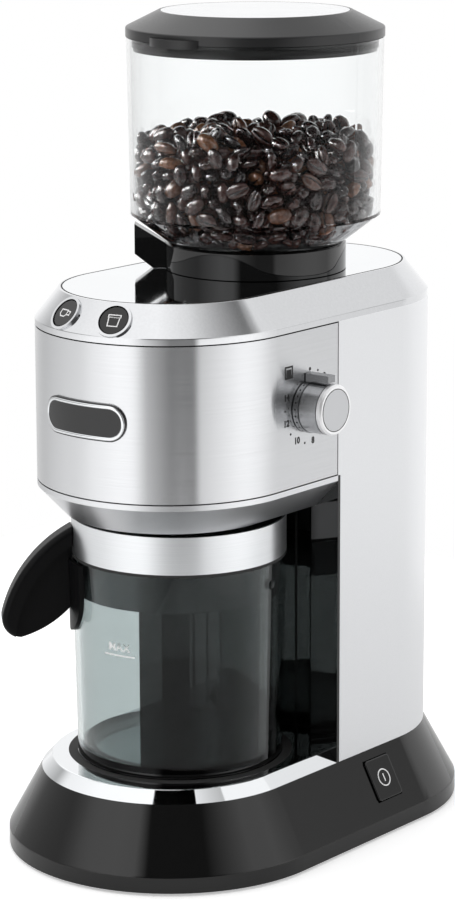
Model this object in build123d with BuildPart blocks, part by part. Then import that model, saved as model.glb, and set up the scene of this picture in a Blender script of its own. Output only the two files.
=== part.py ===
from build123d import *
import os
from math import acos, cos, degrees, atan2, pi, radians, sin, sqrt, tan

# Burr coffee grinder, in millimetres. The front faces -Y, the dial side is +X, and the table is Z = 0.

# Outline of the body, seen from above: every storey is a slot on the same two end-arc centres
base_width = 155.0
flat_run = 95.0
skirt_flare = 15.8
deck_inset = 5.0
lip_round = 1.2
deck_round = 1.0
underside_inset = 12.8
cover_inset = 11.0
cover_round = 0.6
column_front_y = -2.0
bay_clearance = 2.6

# Storey heights, from the table up
foot_height = 1.5
lip_height = 7.5
skirt_height = 29.0
deck_rise = 5.5
bay_height = 117.0
ring_chamfer_rise = 13.5
ring_strip = 2.5
panel_height = 72.0
cover_lip = 2.9
cover_chamfer_rise = 13.6

# Walls, sheets and clearances
base_wall = 3.0
column_wall = 2.5
bay_wall_sheet = 2.5
bay_cheek = 1.6
ring_wall = 2.0
panel_sheet = 1.2
cover_wall = 2.5
deck_sheet = 1.5
deck_rim = 1.2
base_deck_sheet = 1.5
underplate_sheet = 2.5
seam_gap = 0.2
panel_seam = 0.6
run_gap = 0.3
shaft_gap = 0.05

# Upright axes
burr_axis_y = 14.5
cup_axis_y = -42.5
motor_axis_y = 62.0

# Base fittings
cover_plate = 3.0
foot_radius = 9.0
foot_seat = 1.0
foot_spread_x = 100.0
foot_spread_y = 140.0
base_screw_spread_x = 60.0
base_screw_spread_y = 176.0
base_screw_radius = 1.4
base_screw_head_radius = 3.2
base_screw_head = 2.0
base_screw_length = 14.0
screw_boss_radius = 4.0
vent_pitch = 9.0
vent_count = 7
vent_length = 46.0
vent_width = 3.0
gland_z = 22.0
gland_radius = 6.5
gland_bore_radius = 3.6
gland_flange_radius = 8.5
gland_flange = 2.0
gland_proud = 2.5
gland_inner_length = 9.0

# Power button on the right skirt
power_y = 24.5
power_z = 25.0
power_width = 18.0
power_length = 20.0
power_proud = 1.2
power_depth = 9.0
power_travel = 2.0
power_gap = 0.4
power_case_wall = 2.0
power_corner = 1.5

# Bay rib pattern
rib_count = 9
rib_pitch = 9.0
rib_width = 2.0
rib_height = 1.0

# Push buttons on the front chamfer
button_angle = 14.5
button_drop = 0.5
button_radius = 6.9
button_proud = 0.6
button_depth = 6.0
button_collar = 1.0
button_collar_height = 1.4
button_stem_radius = 2.0
button_stem = 2.0
button_travel = 1.2
bezel_wall = 1.2
bezel_proud = 0.9
bezel_depth = 4.0
board_depth = 13.4
board_width = 48.0
board_height = 20.0
board_sheet = 1.6
board_post_radius = 2.2
board_post_spread = 12.0
board_switch_size = 6.0
board_switch_body = 1.2
board_switch_plunger_radius = 1.6
board_switch_plunger = 0.8

# Side dial: an outer ring with a lever, and a knob inside it
dial_y = -24.5
dial_rise = 36.5
dial_case_size = 26.0
dial_case_depth = 12.0
dial_bush_radius = 6.5
dial_bush_proud = 0.1
lever_ring_radius = 12.0
lever_ring_sheet = 2.8
lever_sleeve_radius = 4.5
lever_sleeve_length = 9.0
lever_gap = 0.7
lever_thickness = 3.2
lever_width = 5.0
lever_length = 10.0
knob_radius = 11.6
knob_length = 9.2
knob_shaft_radius = 2.9
knob_shaft_length = 14.0
knob_groove = 0.6
knob_groove_depth = 0.8
knob_cap_height = 2.4
knob_cap_chamfer = 0.8

# Hopper, its collar and its lid
neck_radius = 31.0
neck_wall = 2.4
neck_depth = 21.0
neck_flange = 5.0
neck_flange_sheet = 1.2
collar_radius = 42.4
collar_height = 13.0
collar_skirt_wall = 2.7
collar_edge = 1.0
wing_angle = -51.0
wing_thickness = 9.0
wing_reach = 56.5
wing_toe_reach = 48.0
wing_toe_rise = 6.7
wing_height = 20.7
bowl_seat_inset = 0.4
bowl_draft = 1.3
bowl_rim_radius = 59.7
bowl_cone_rise = 12.4
bowl_wall_height = 82.0
bowl_wall = 2.3
lid_overhang = 0.3
lid_rim_height = 4.2
lid_cone_rise = 7.5
lid_wall = 2.2
lid_skirt_depth = 6.0
lid_skirt_wall = 2.0
lid_disc_inset = 16.3
lid_disc_sheet = 1.6
lid_disc_border = 1.0
lid_seal_height = 2.5
lid_seal_depth = 0.6
lid_round = 1.0
lid_tab_round = 22.5
lid_tab_reach = 3.5
lid_tab_height = 2.4
lid_tab_drop = 1.5

# Burrs and the space they turn in
housing_height = 39.5
housing_floor = 4.0
housing_wall = 2.7
housing_flange = 4.0
housing_flange_sheet = 2.5
chamber_radius = 26.0
lift_room = 1.0
outlet_width = 20.0
outlet_height = 8.0
outlet_wall = 2.0
outlet_stub = 1.5
carrier_flange = 4.0
carrier_lug_height = 4.5
carrier_lug_angle = 16.0
carrier_lug_count = 3
carrier_lug_gap = 1.5
collar_lift_room = 2.0
funnel_radius = 29.0
ring_burr_height = 9.0
ring_burr_wall = 4.5
ring_burr_slope = 2.8
ring_burr_teeth = 24
cone_burr_height = 13.5
cone_base_radius = 19.2
cone_top_radius = 8.5
cone_burr_teeth = 16
cone_burr_twist = 22.0
burr_tooth_depth = 1.4
grind_gap = 1.1
sweeper_clearance = 1.0
sweeper_disc = 2.5
sweeper_disc_radius = 19.0
sweeper_hub_radius = 9.0
sweeper_wall_gap = 0.7
sweeper_paddle = 3.0
sweeper_paddle_count = 3
nut_radius = 7.0
nut_height = 5.0
nut_thread_radius = 3.0

# Gear train and shafts
gear_module = 1.0
pressure_angle = 20.0
gear_addendum = 0.8
gear_dedendum = 1.1
gear_backlash = 0.3
pinion_teeth = 12
idler_wheel_teeth = 45
idler_pinion_teeth = 15
final_teeth = 45
wheel_face = 8.0
pinion_overhang = 1.5
gear_floor_gap = 4.0
gear_level_gap = 4.0
final_hub_radius = 9.0
final_hub_height = 5.0
idler_hub_radius = 6.0
idler_hub_height = 2.0
idler_pin_radius = 3.0
burr_shaft_radius = 4.0
burr_shaft_shoulder = 1.2
shaft_end_play = 1.0
bush_wall = 2.5
bush_flange = 2.0
gear_cover_height = 36.0
gear_cover_wall = 2.5
gear_room = 1.0

# Chassis and motor
chassis_plate = 4.0
chassis_gap = 0.7
chassis_front_y = -16.0
chassis_leg_radius = 5.0
leg_wall_gap = 2.9
front_leg_y = 26.0
rear_leg_angle = 47.8
motor_radius = 27.0
motor_length = 84.0
motor_can_wall = 1.5
motor_top = 2.0
motor_boss_radius = 8.0
motor_shaft_radius = 2.5
magnet_gap = 0.1
magnet_thickness = 4.6
magnet_pole_gap = 21.0
magnet_length = 54.0
magnet_drop = 16.0
armature_gap = 0.8
armature_length = 45.0
armature_drop = 21.0
armature_slots = 5
armature_slot_width = 3.0
armature_slot_depth = 9.0
commutator_radius = 7.0
commutator_length = 8.0
commutator_gap = 3.0
end_cap_plate = 2.0
end_cap_spigot = 3.0
end_cap_boss_radius = 6.0
end_cap_boss = 2.0
motor_screw_circle = 17.0
motor_screw_radius = 1.5
motor_screw_head_radius = 2.8
motor_screw_head = 2.0

# Coffee chute
chute_wall = 2.0
chute_level_run = 7.0
chute_bend_radius = 10.0
chute_drop = 26.0
chute_corner = 1.5

# Coffee container
cup_foot_height = 2.5
cup_foot_width = 8.0
cup_foot_edge = 1.2
cup_base_radius = 48.0
cup_draft = 1.7
cup_height = 93.2
cup_wall = 2.3
cup_floor = 2.5
cup_seal = 1.4
cup_seal_width = 3.0
lid_ring_proud = 0.2
lid_ring_height = 17.4
lid_ring_sheet = 1.0
cup_lid_drop = 2.0
cup_lid_plate = 3.0
cup_lid_wall = 1.8
cup_lid_skirt = 18.5
cup_lid_skirt_gap = 0.35
cup_lid_hole_radius = 16.0
handle_angle = -44.0
handle_span = 32.6
handle_top_drop = 4.4
handle_shoulder_span = 19.0
handle_shoulder_drop = 19.4
handle_span_drop = 45.5
handle_tip_drop = 57.0
handle_tip_span = 24.0
handle_heel_span = 12.0
handle_heel_drop = 52.0
handle_root_drop = 42.2
handle_web = 6.0
handle_rim = 7.6
handle_rim_width = 14.0
handle_rim_round = 3.0
tongue_width = 37.8
tongue_top_drop = 20.0
tongue_tip_drop = 54.5
tongue_thickness = 2.0

# Widths and levels that follow
body_width = base_width - 2 * skirt_flare
body_half = body_width / 2
arc_y = flat_run / 2
lip_top = foot_height + lip_height
skirt_top = lip_top + skirt_height
deck_top = skirt_top + deck_rise
underside_z = deck_top + bay_height
underplate_z = underside_z + underplate_sheet
ring_corner_z = underside_z + ring_chamfer_rise
ring_top = ring_corner_z + ring_strip
panel_top = ring_top + panel_height
cover_corner_z = panel_top + cover_lip
cover_top = cover_corner_z + cover_chamfer_rise
cover_ceiling = cover_top - deck_sheet - cover_wall
bay_half = body_half - underside_inset
underside_width = 2 * bay_half
cup_rim_radius = cup_base_radius + cup_draft
lid_ring_radius = cup_rim_radius + lid_ring_proud
bay_back_y = cup_axis_y + lid_ring_radius + bay_clearance
floor_plate_top = foot_height + cover_plate

collar_bottom = cover_top + run_gap
collar_top = collar_bottom + collar_height
bowl_seat_radius = collar_radius - bowl_seat_inset
bowl_corner_radius = bowl_rim_radius - bowl_draft
lid_radius = bowl_rim_radius + lid_overhang
lid_disc_radius = lid_radius - lid_disc_inset
bowl_bottom = collar_top + run_gap
bowl_corner_z = bowl_bottom + bowl_cone_rise
bowl_top = bowl_corner_z + bowl_wall_height
lid_bottom = bowl_top + run_gap
lid_corner_z = lid_bottom + lid_rim_height
lid_top = lid_corner_z + lid_cone_rise

housing_bottom = cover_ceiling - housing_height
chamber_floor = housing_bottom + housing_floor
chamber_top = chamber_floor + outlet_height + outlet_wall
collar_bore = neck_radius + run_gap
collar_skirt_radius = collar_bore + collar_skirt_wall
housing_bore = collar_skirt_radius + run_gap
housing_radius = housing_bore + housing_wall
outlet_reach = housing_radius + outlet_stub
outlet_y = burr_axis_y - outlet_reach
outlet_z = chamber_floor + outlet_height / 2
carrier_bottom = chamber_top + lift_room
ring_burr_base_radius = cone_base_radius + grind_gap
ring_burr_radius = ring_burr_base_radius + ring_burr_wall
carrier_seat_top = carrier_bottom + ring_burr_height
carrier_top = carrier_seat_top + carrier_flange
collar_skirt_bottom = carrier_top + collar_lift_room
collar_notch_top = carrier_top + carrier_lug_height + carrier_lug_gap
lug_chord = 2 * collar_skirt_radius * sin(radians(carrier_lug_angle / 2))
sweeper_bottom = chamber_floor + sweeper_clearance
cone_burr_bottom = chamber_top + lift_room / 2
cone_burr_top = cone_burr_bottom + cone_burr_height

chassis_top = housing_bottom - gear_cover_height
chassis_bottom = chassis_top - chassis_plate
wheel_bottom = chassis_top + gear_floor_gap
wheel_top = wheel_bottom + wheel_face
final_bottom = wheel_top + gear_level_gap
final_top = final_bottom + wheel_face
motor_bottom = chassis_bottom - motor_length
motor_bore = motor_radius - motor_can_wall

cup_floor_z = deck_top + cup_foot_height
cup_rim_z = cup_floor_z + cup_height
lid_ring_bottom = cup_rim_z + cup_seal
lid_ring_top = lid_ring_bottom + lid_ring_height
cup_lid_top = lid_ring_top - cup_lid_drop


# Shared shapes
def slot(width, mode=Mode.ADD):
    """Outline of one storey: a slot along Y on the common arc centres."""
    SlotOverall(width + flat_run, width, rotation=90, mode=mode)


def slot_block(low, high, width, mode=Mode.ADD):
    """Upright block with a slot outline between two levels."""
    with BuildSketch(Plane.XY.offset(low)) as outline:
        slot(width)
    extrude(outline.sketch, amount=high - low, mode=mode)


def slot_taper(low, high, low_width, high_width, mode=Mode.ADD):
    """Tapered block between two slots at two levels."""
    with BuildSketch(Plane.XY.offset(low)) as low_outline:
        slot(low_width)
    with BuildSketch(Plane.XY.offset(high)) as high_outline:
        slot(high_width)
    loft([low_outline.sketch, high_outline.sketch], ruled=True, mode=mode)


def turned(profile, axis_y, mode=Mode.ADD):
    """Ring turned from a closed (radius, height) outline about the upright axis at axis_y."""
    with BuildSketch(Plane.XZ.offset(-axis_y)) as section:
        with BuildLine():
            Polyline(*profile, close=True)
        make_face()
    revolve(section.sketch, axis=Axis((0, axis_y, 0), (0, 0, 1)), mode=mode)


def tube_profile(inner, outer, low, high):
    """Corners of a plain tube's section."""
    return [(inner, low), (outer, low), (outer, high), (inner, high)]


def skirt_width(level):
    """Outer width of the flared base skirt at a level."""
    return base_width - 2 * skirt_flare * (level - lip_top) / skirt_height


def chamfer_plane(angle):
    """Plane on the front chamfer, a little below its middle, turned by angle from straight ahead."""
    out = Vector(sin(radians(angle)), -cos(radians(angle)), 0)
    middle = Vector(0, -arc_y, cover_corner_z + cover_chamfer_rise / 2)
    down = (out * cover_inset - Vector(0, 0, cover_chamfer_rise)).normalized()
    return Plane(
        origin=middle + out * (body_half - cover_inset / 2) + down * button_drop,
        x_dir=(cos(radians(angle)), sin(radians(angle)), 0),
        z_dir=out * cover_chamfer_rise + Vector(0, 0, cover_inset),
    )


def upright_plane(axis_y, angle):
    """Upright plane through the axis at axis_y: its X runs outward at angle from straight ahead."""
    out = Vector(sin(radians(angle)), -cos(radians(angle)), 0)
    return Plane(origin=(0, axis_y, 0), x_dir=out, z_dir=out.cross(Vector(0, 0, 1)))


def involute(angle):
    """Involute function of a pressure angle in radians."""
    return tan(angle) - angle


def gear_points(teeth, phase):
    """Corners of a stub-tooth involute gear outline with one tooth centred on phase, in degrees."""
    pitch_radius = gear_module * teeth / 2
    base_radius = pitch_radius * cos(radians(pressure_angle))
    tip_radius = pitch_radius + gear_addendum * gear_module
    root_radius = pitch_radius - gear_dedendum * gear_module
    half_tooth = (pi * gear_module / 2 - gear_backlash) / (2 * pitch_radius)
    flank_start = max(root_radius, base_radius)
    flank = []
    for radius in (flank_start, (flank_start + tip_radius) / 2, tip_radius):
        roll = involute(radians(pressure_angle)) - involute(acos(base_radius / radius))
        flank.append((radius, half_tooth + roll))
    if root_radius < base_radius:
        flank.insert(0, (root_radius, flank[0][1]))
    points = []
    for tooth in range(teeth):
        centre = radians(phase) + 2 * pi * tooth / teeth
        for radius, half_angle in flank:
            points.append((radius * cos(centre - half_angle), radius * sin(centre - half_angle)))
        for radius, half_angle in reversed(flank):
            points.append((radius * cos(centre + half_angle), radius * sin(centre + half_angle)))
    return points


def gear_block(centre, level, face, teeth, phase):
    """Spur gear blank with teeth, standing on a level."""
    with BuildSketch(Plane.XY.offset(level)) as outline:
        with Locations(centre):
            Polygon(*gear_points(teeth, phase), align=None)
    extrude(outline.sketch, amount=face)


def disc(centre, level, height, radius, mode=Mode.ADD):
    """Upright cylinder standing on a level."""
    with BuildSketch(Plane.XY.offset(level)) as outline:
        with Locations(centre):
            Circle(radius)
    extrude(outline.sketch, amount=height, mode=mode)


def ring_sectors(inner, outer, count, chord):
    """Equal sectors of a flat ring, each as wide as chord."""
    with PolarLocations(0, count):
        Rectangle(outer, chord, align=(Align.MIN, Align.CENTER))
    Circle(outer, mode=Mode.INTERSECT)
    Circle(inner, mode=Mode.SUBTRACT)


def burr_star(inner, outer, count, turn):
    """Toothed outline of a burr at one level."""
    points = []
    for corner in range(2 * count):
        radius = outer if corner % 2 == 0 else inner
        angle = radians(180 * corner / count + turn)
        points.append((radius * cos(angle), radius * sin(angle)))
    Polygon(*points, align=None)


def burr_taper(levels, inner_radii, outer_radii, count, twist, mode=Mode.ADD):
    """Twisted toothed taper between two levels on the burr axis."""
    sections = []
    for step in range(2):
        with BuildSketch(Plane((0, burr_axis_y, levels[step]))) as section:
            burr_star(inner_radii[step], outer_radii[step], count, twist * step)
        sections.append(section.sketch)
    loft(sections, ruled=True, mode=mode)


# Gear centres: the idler stands off to the right of the line from the burrs to the motor
burr_centre = (0, burr_axis_y)
motor_centre = (0, motor_axis_y)
first_distance = gear_module * (pinion_teeth + idler_wheel_teeth) / 2
second_distance = gear_module * (idler_pinion_teeth + final_teeth) / 2
axis_distance = motor_axis_y - burr_axis_y
idler_along = (second_distance**2 - first_distance**2 + axis_distance**2) / (2 * axis_distance)
idler_centre = (sqrt(second_distance**2 - idler_along**2), burr_axis_y + idler_along)
to_burr = degrees(atan2(burr_axis_y - idler_centre[1], -idler_centre[0]))
to_motor = degrees(atan2(motor_axis_y - idler_centre[1], -idler_centre[0]))

# Base: flared skirt, closed above and open below
base_screws_at = [
    (side * base_screw_spread_x / 2, end * base_screw_spread_y / 2) for side in (-1, 1) for end in (-1, 1)
]
feet_at = [(side * foot_spread_x / 2, end * foot_spread_y / 2) for side in (-1, 1) for end in (-1, 1)]
power_plane = Plane(
    origin=(skirt_width(power_z) / 2, power_y, power_z),
    x_dir=(0, 1, 0),
    z_dir=(skirt_height, 0, skirt_flare),
)
skirt_normal_wall = base_wall * power_plane.z_dir.X
gland_y = (skirt_width(gland_z) + flat_run) / 2
gland_plane = Plane(origin=(0, gland_y, gland_z), x_dir=(-1, 0, 0), z_dir=(0, 1, 0))

with BuildPart() as base_shell:
    slot_block(foot_height, lip_top, base_width)
    slot_taper(lip_top, skirt_top, base_width, body_width)
    fillet(base_shell.edges().filter_by_position(Axis.Z, lip_top, lip_top), lip_round)
    slot_block(foot_height, lip_top, base_width - 2 * base_wall, Mode.SUBTRACT)
    slot_taper(
        lip_top,
        skirt_top - base_wall,
        base_width - 2 * base_wall,
        skirt_width(skirt_top - base_wall) - 2 * base_wall,
        Mode.SUBTRACT,
    )
    with BuildSketch(Plane.XY.offset(floor_plate_top)):
        with Locations(*base_screws_at):
            Circle(screw_boss_radius)
    extrude(amount=skirt_top - base_wall - floor_plate_top)
    with BuildSketch(Plane.XY.offset(floor_plate_top)):
        with Locations(*base_screws_at):
            Circle(base_screw_radius + shaft_gap)
    extrude(amount=base_screw_length, mode=Mode.SUBTRACT)
    with BuildSketch(power_plane):
        Rectangle(power_width + 2 * power_gap, power_length + 2 * power_gap)
    extrude(amount=2 * base_wall, both=True, mode=Mode.SUBTRACT)
    with BuildSketch(gland_plane):
        Circle(gland_radius + shaft_gap)
    extrude(amount=gland_inner_length, both=True, mode=Mode.SUBTRACT)

with BuildPart() as bottom_cover:
    slot_block(foot_height, floor_plate_top, base_width - 2 * (base_wall + seam_gap))
    with BuildSketch(Plane.XY.offset(foot_height)):
        with Locations(*feet_at):
            Circle(foot_radius + shaft_gap)
    extrude(amount=foot_seat, mode=Mode.SUBTRACT)
    with BuildSketch(Plane.XY.offset(foot_height)):
        with GridLocations(0, vent_pitch, 1, vent_count):
            SlotOverall(vent_length, vent_width)
    extrude(amount=cover_plate, mode=Mode.SUBTRACT)
    with Locations(*[Location((x, y, foot_height), (180, 0, 0)) for x, y in base_screws_at]):
        CounterBoreHole(
            base_screw_radius + shaft_gap, base_screw_head_radius + seam_gap, base_screw_head, cover_plate
        )

with BuildPart() as rubber_feet:
    with BuildSketch():
        with Locations(*feet_at):
            Circle(foot_radius)
    extrude(amount=foot_height + foot_seat)
    chamfer(rubber_feet.edges().group_by(Axis.Z)[0], foot_seat / 2)

with BuildPart() as base_screws:
    with BuildSketch(Plane.XY.offset(foot_height)):
        with Locations(*base_screws_at):
            Circle(base_screw_head_radius)
    extrude(amount=base_screw_head)
    with BuildSketch(Plane.XY.offset(foot_height + base_screw_head)):
        with Locations(*base_screws_at):
            Circle(base_screw_radius)
    extrude(amount=base_screw_length)

with BuildPart() as base_deck:
    slot_taper(skirt_top, deck_top, body_width, body_width - 2 * deck_inset)
    fillet(base_deck.edges().group_by(Axis.Z)[-1], deck_round)
    slot_taper(
        skirt_top,
        deck_top - base_deck_sheet,
        body_width - 2 * base_deck_sheet,
        body_width - 2 * (deck_inset + base_deck_sheet),
        Mode.SUBTRACT,
    )
    split(bisect_by=Plane.XZ.offset(seam_gap - column_front_y), keep=Keep.TOP)
    with BuildSketch(Plane.XY.offset(deck_top)):
        with Locations((0, column_front_y - seam_gap)):
            Rectangle(
                2 * (bay_half - bay_wall_sheet - 2 * seam_gap),
                bay_back_y - rib_height - column_front_y,
                align=(Align.CENTER, Align.MIN),
            )
    extrude(amount=-base_deck_sheet)

with BuildPart() as cord_gland:
    with BuildSketch(gland_plane.offset(-gland_inner_length)):
        Circle(gland_radius)
    extrude(amount=gland_inner_length + gland_proud)
    with BuildSketch(gland_plane.offset(-gland_inner_length)):
        Circle(gland_flange_radius)
    extrude(amount=-gland_flange)
    with BuildSketch(gland_plane.offset(-gland_inner_length - gland_flange)):
        Circle(gland_bore_radius)
    extrude(amount=gland_flange + gland_inner_length + gland_proud, mode=Mode.SUBTRACT)

with BuildPart() as power_switch:
    case_top = -skirt_normal_wall
    case_depth = power_depth + power_travel + run_gap - skirt_normal_wall
    with BuildSketch(power_plane.offset(case_top)):
        Rectangle(
            power_width + 2 * (power_gap + power_case_wall), power_length + 2 * (power_gap + power_case_wall)
        )
    extrude(amount=-case_depth - power_case_wall)
    with BuildSketch(power_plane.offset(case_top)):
        Rectangle(power_width + 2 * power_gap, power_length + 2 * power_gap)
    extrude(amount=-case_depth, mode=Mode.SUBTRACT)

with BuildPart() as power_button:
    with BuildSketch(power_plane.offset(-power_depth)):
        RectangleRounded(power_width, power_length, power_corner)
    extrude(amount=power_depth + power_proud)
    fillet(power_button.faces().sort_by(Axis((0, 0, 0), power_plane.z_dir))[-1].edges(), power_proud / 2)

# Column: wrapped sheet behind the bay, and the black bay wall with its two front cheeks
with BuildPart() as column_shell:
    with BuildSketch(Plane.XY.offset(skirt_top)):
        slot(body_width)
        slot(body_width - 2 * column_wall, Mode.SUBTRACT)
    extrude(amount=panel_top - skirt_top)
    split(bisect_by=Plane.XZ.offset(-column_front_y), keep=Keep.BOTTOM)
    with BuildSketch(Plane.XY.offset(skirt_top)):
        with Locations((0, column_front_y)):
            Rectangle(body_width, bay_cheek + seam_gap, align=(Align.CENTER, Align.MIN))
    extrude(amount=ring_top - skirt_top, mode=Mode.SUBTRACT)

with BuildPart() as bay_wall:
    bay_outer = 2 * (bay_half - seam_gap)
    with BuildSketch(Plane.XY.offset(skirt_top)):
        with Locations((0, column_front_y)):
            Rectangle(
                bay_outer, bay_back_y + bay_wall_sheet - column_front_y, align=(Align.CENTER, Align.MIN)
            )
            Rectangle(
                bay_outer - 2 * bay_wall_sheet,
                bay_back_y - column_front_y,
                align=(Align.CENTER, Align.MIN),
                mode=Mode.SUBTRACT,
            )
        with Locations((0, bay_back_y)):
            with GridLocations(rib_pitch, 0, rib_count, 1):
                Rectangle(rib_width, rib_height, align=(Align.CENTER, Align.MAX))
    extrude(amount=underside_z - skirt_top)
    with BuildSketch(Plane.XY.offset(skirt_top)):
        with Locations((0, column_front_y)):
            Rectangle(body_width, bay_cheek, align=(Align.CENTER, Align.MIN))
            Rectangle(
                bay_outer - 2 * bay_wall_sheet, bay_cheek, align=(Align.CENTER, Align.MIN), mode=Mode.SUBTRACT
            )
    extrude(amount=underside_z - skirt_top)
    with BuildSketch(Plane.XY.offset(underside_z)):
        with Locations((0, column_front_y)):
            Rectangle(body_width, bay_cheek, align=(Align.CENTER, Align.MIN))
            Rectangle(underside_width, bay_cheek, align=(Align.CENTER, Align.MIN), mode=Mode.SUBTRACT)
    extrude(amount=ring_top - underside_z)

# Head: polished lower ring, floor plate, brushed front panel and chamfered cover
with BuildPart() as head_lower_ring:
    slot_taper(underside_z, ring_corner_z, underside_width, body_width)
    slot_block(ring_corner_z, ring_top, body_width)
    slot_taper(
        underside_z,
        ring_corner_z,
        underside_width - 2 * ring_wall,
        body_width - 2 * ring_wall,
        Mode.SUBTRACT,
    )
    slot_block(ring_corner_z, ring_top, body_width - 2 * ring_wall, Mode.SUBTRACT)
    split(bisect_by=Plane.XZ.offset(-column_front_y), keep=Keep.TOP)

with BuildPart() as head_underplate:
    plate_width = underside_width - 2 * (ring_wall + seam_gap)
    slot_block(underside_z, underplate_z, plate_width)
    split(bisect_by=Plane.XZ.offset(-column_front_y), keep=Keep.TOP)
    with BuildSketch(Plane.XY.offset(underside_z)):
        with Locations((0, column_front_y)):
            plate_depth = bay_back_y + bay_wall_sheet - column_front_y
            Rectangle(plate_width, plate_depth, align=(Align.CENTER, Align.MIN))
    extrude(amount=underplate_sheet)
    with BuildSketch(Plane.XY.offset(underside_z)):
        with Locations((0, cup_axis_y)):
            Rectangle(
                outlet_width + 2 * (chute_wall + seam_gap), outlet_height + 2 * (chute_wall + seam_gap)
            )
    extrude(amount=underplate_sheet, mode=Mode.SUBTRACT)

dial_z = ring_top + dial_rise
dial_plane = Plane(origin=(body_half, dial_y, dial_z), x_dir=(0, 1, 0), z_dir=(1, 0, 0))

with BuildPart() as head_front_panel:
    with BuildSketch(Plane.XY.offset(ring_top + panel_seam)):
        slot(body_width)
        slot(body_width - 2 * panel_sheet, Mode.SUBTRACT)
    extrude(amount=panel_height - 2 * panel_seam)
    split(bisect_by=Plane.XZ.offset(panel_seam - column_front_y), keep=Keep.TOP)
    with BuildSketch(dial_plane):
        Circle(dial_bush_radius + shaft_gap)
    extrude(amount=2 * panel_sheet, both=True, mode=Mode.SUBTRACT)

bezel_radius = button_radius + run_gap + bezel_wall
button_planes = {"left_button": chamfer_plane(-button_angle), "right_button": chamfer_plane(button_angle)}
board_plane = chamfer_plane(0).offset(-board_depth)
deck_width = body_width - 2 * (cover_inset + deck_rim + seam_gap)
collar_hole = housing_bore + seam_gap

with BuildPart() as top_cover:
    cover_top_width = body_width - 2 * cover_inset
    slot_block(panel_top, cover_corner_z, body_width)
    slot_taper(cover_corner_z, cover_top, body_width, cover_top_width)
    fillet(top_cover.edges().filter_by_position(Axis.Z, cover_corner_z, cover_top), cover_round)
    slot_block(panel_top, cover_corner_z, body_width - 2 * cover_wall, Mode.SUBTRACT)
    ceiling_inset = cover_inset * (cover_ceiling - cover_corner_z) / cover_chamfer_rise
    slot_taper(
        cover_corner_z,
        cover_ceiling,
        body_width - 2 * cover_wall,
        body_width - 2 * (cover_wall + ceiling_inset),
        Mode.SUBTRACT,
    )
    slot_block(cover_top - deck_sheet, cover_top, deck_width + 2 * seam_gap, Mode.SUBTRACT)
    disc(burr_centre, cover_ceiling, cover_top - cover_ceiling, collar_hole, Mode.SUBTRACT)
    with BuildSketch(board_plane):
        with GridLocations(0, board_post_spread, 1, 2):
            Circle(board_post_radius)
    extrude(amount=board_depth - cover_wall / 2)
    for plane in button_planes.values():
        with BuildSketch(plane):
            Circle(bezel_radius + shaft_gap)
        extrude(amount=button_depth + button_travel + run_gap, both=True, mode=Mode.SUBTRACT)

with BuildPart() as top_deck:
    slot_block(cover_top - deck_sheet, cover_top, deck_width)
    disc(burr_centre, cover_top - deck_sheet, deck_sheet, collar_hole, Mode.SUBTRACT)

with BuildPart() as button_bezels:
    for plane in button_planes.values():
        with BuildSketch(plane.offset(-bezel_depth)):
            Circle(bezel_radius)
            Circle(button_radius + run_gap, mode=Mode.SUBTRACT)
        extrude(amount=bezel_depth + bezel_proud)

buttons = {}
for name, plane in button_planes.items():
    with BuildPart() as button:
        with BuildSketch(plane.offset(-button_depth)):
            Circle(button_radius)
        extrude(amount=button_depth + button_proud)
        fillet(button.edges().sort_by(Axis(plane.origin, plane.z_dir))[-1], button_proud)
        with BuildSketch(plane.offset(-button_depth)):
            Circle(button_radius + button_collar)
        extrude(amount=button_collar_height)
        with BuildSketch(plane.offset(-button_depth)):
            Circle(button_stem_radius)
        extrude(amount=-button_stem)
    buttons[name] = button.part

with BuildPart() as control_board:
    with BuildSketch(board_plane):
        Rectangle(board_width, board_height)
    extrude(amount=-board_sheet)
    for plane in button_planes.values():
        switch_at = board_plane.to_local_coords(plane.origin)
        with BuildSketch(board_plane):
            with Locations((switch_at.X, switch_at.Y)):
                Rectangle(board_switch_size, board_switch_size)
        extrude(amount=board_switch_body)
        with BuildSketch(board_plane.offset(board_switch_body)):
            with Locations((switch_at.X, switch_at.Y)):
                Circle(board_switch_plunger_radius)
        extrude(amount=board_switch_plunger)

# Side dial
ring_plane = dial_plane.offset(dial_bush_proud + run_gap)
knob_plane = ring_plane.offset(lever_ring_sheet + run_gap)

with BuildPart() as dial_switch:
    with BuildSketch(dial_plane.offset(-panel_sheet)):
        Rectangle(dial_case_size, dial_case_size)
    extrude(amount=-dial_case_depth)
    with BuildSketch(dial_plane.offset(-panel_sheet)):
        Circle(dial_bush_radius)
    extrude(amount=panel_sheet + dial_bush_proud)
    with BuildSketch(dial_plane.offset(dial_bush_proud)):
        Circle(lever_sleeve_radius + shaft_gap)
    extrude(amount=-panel_sheet - dial_case_depth, mode=Mode.SUBTRACT)

with BuildPart() as quantity_ring:
    with BuildSketch(ring_plane):
        Circle(lever_ring_radius)
        Rectangle(lever_width, knob_radius + lever_gap + lever_thickness, align=(Align.CENTER, Align.MIN))
    extrude(amount=lever_ring_sheet)
    with BuildSketch(ring_plane):
        with Locations((0, knob_radius + lever_gap)):
            Rectangle(lever_width, lever_thickness, align=(Align.CENTER, Align.MIN))
    extrude(amount=lever_ring_sheet + lever_length)
    with BuildSketch(ring_plane):
        Circle(lever_sleeve_radius)
    extrude(amount=-lever_sleeve_length)
    with BuildSketch(ring_plane.offset(-lever_sleeve_length)):
        Circle(knob_shaft_radius + shaft_gap)
    extrude(amount=lever_sleeve_length + lever_ring_sheet, mode=Mode.SUBTRACT)

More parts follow.
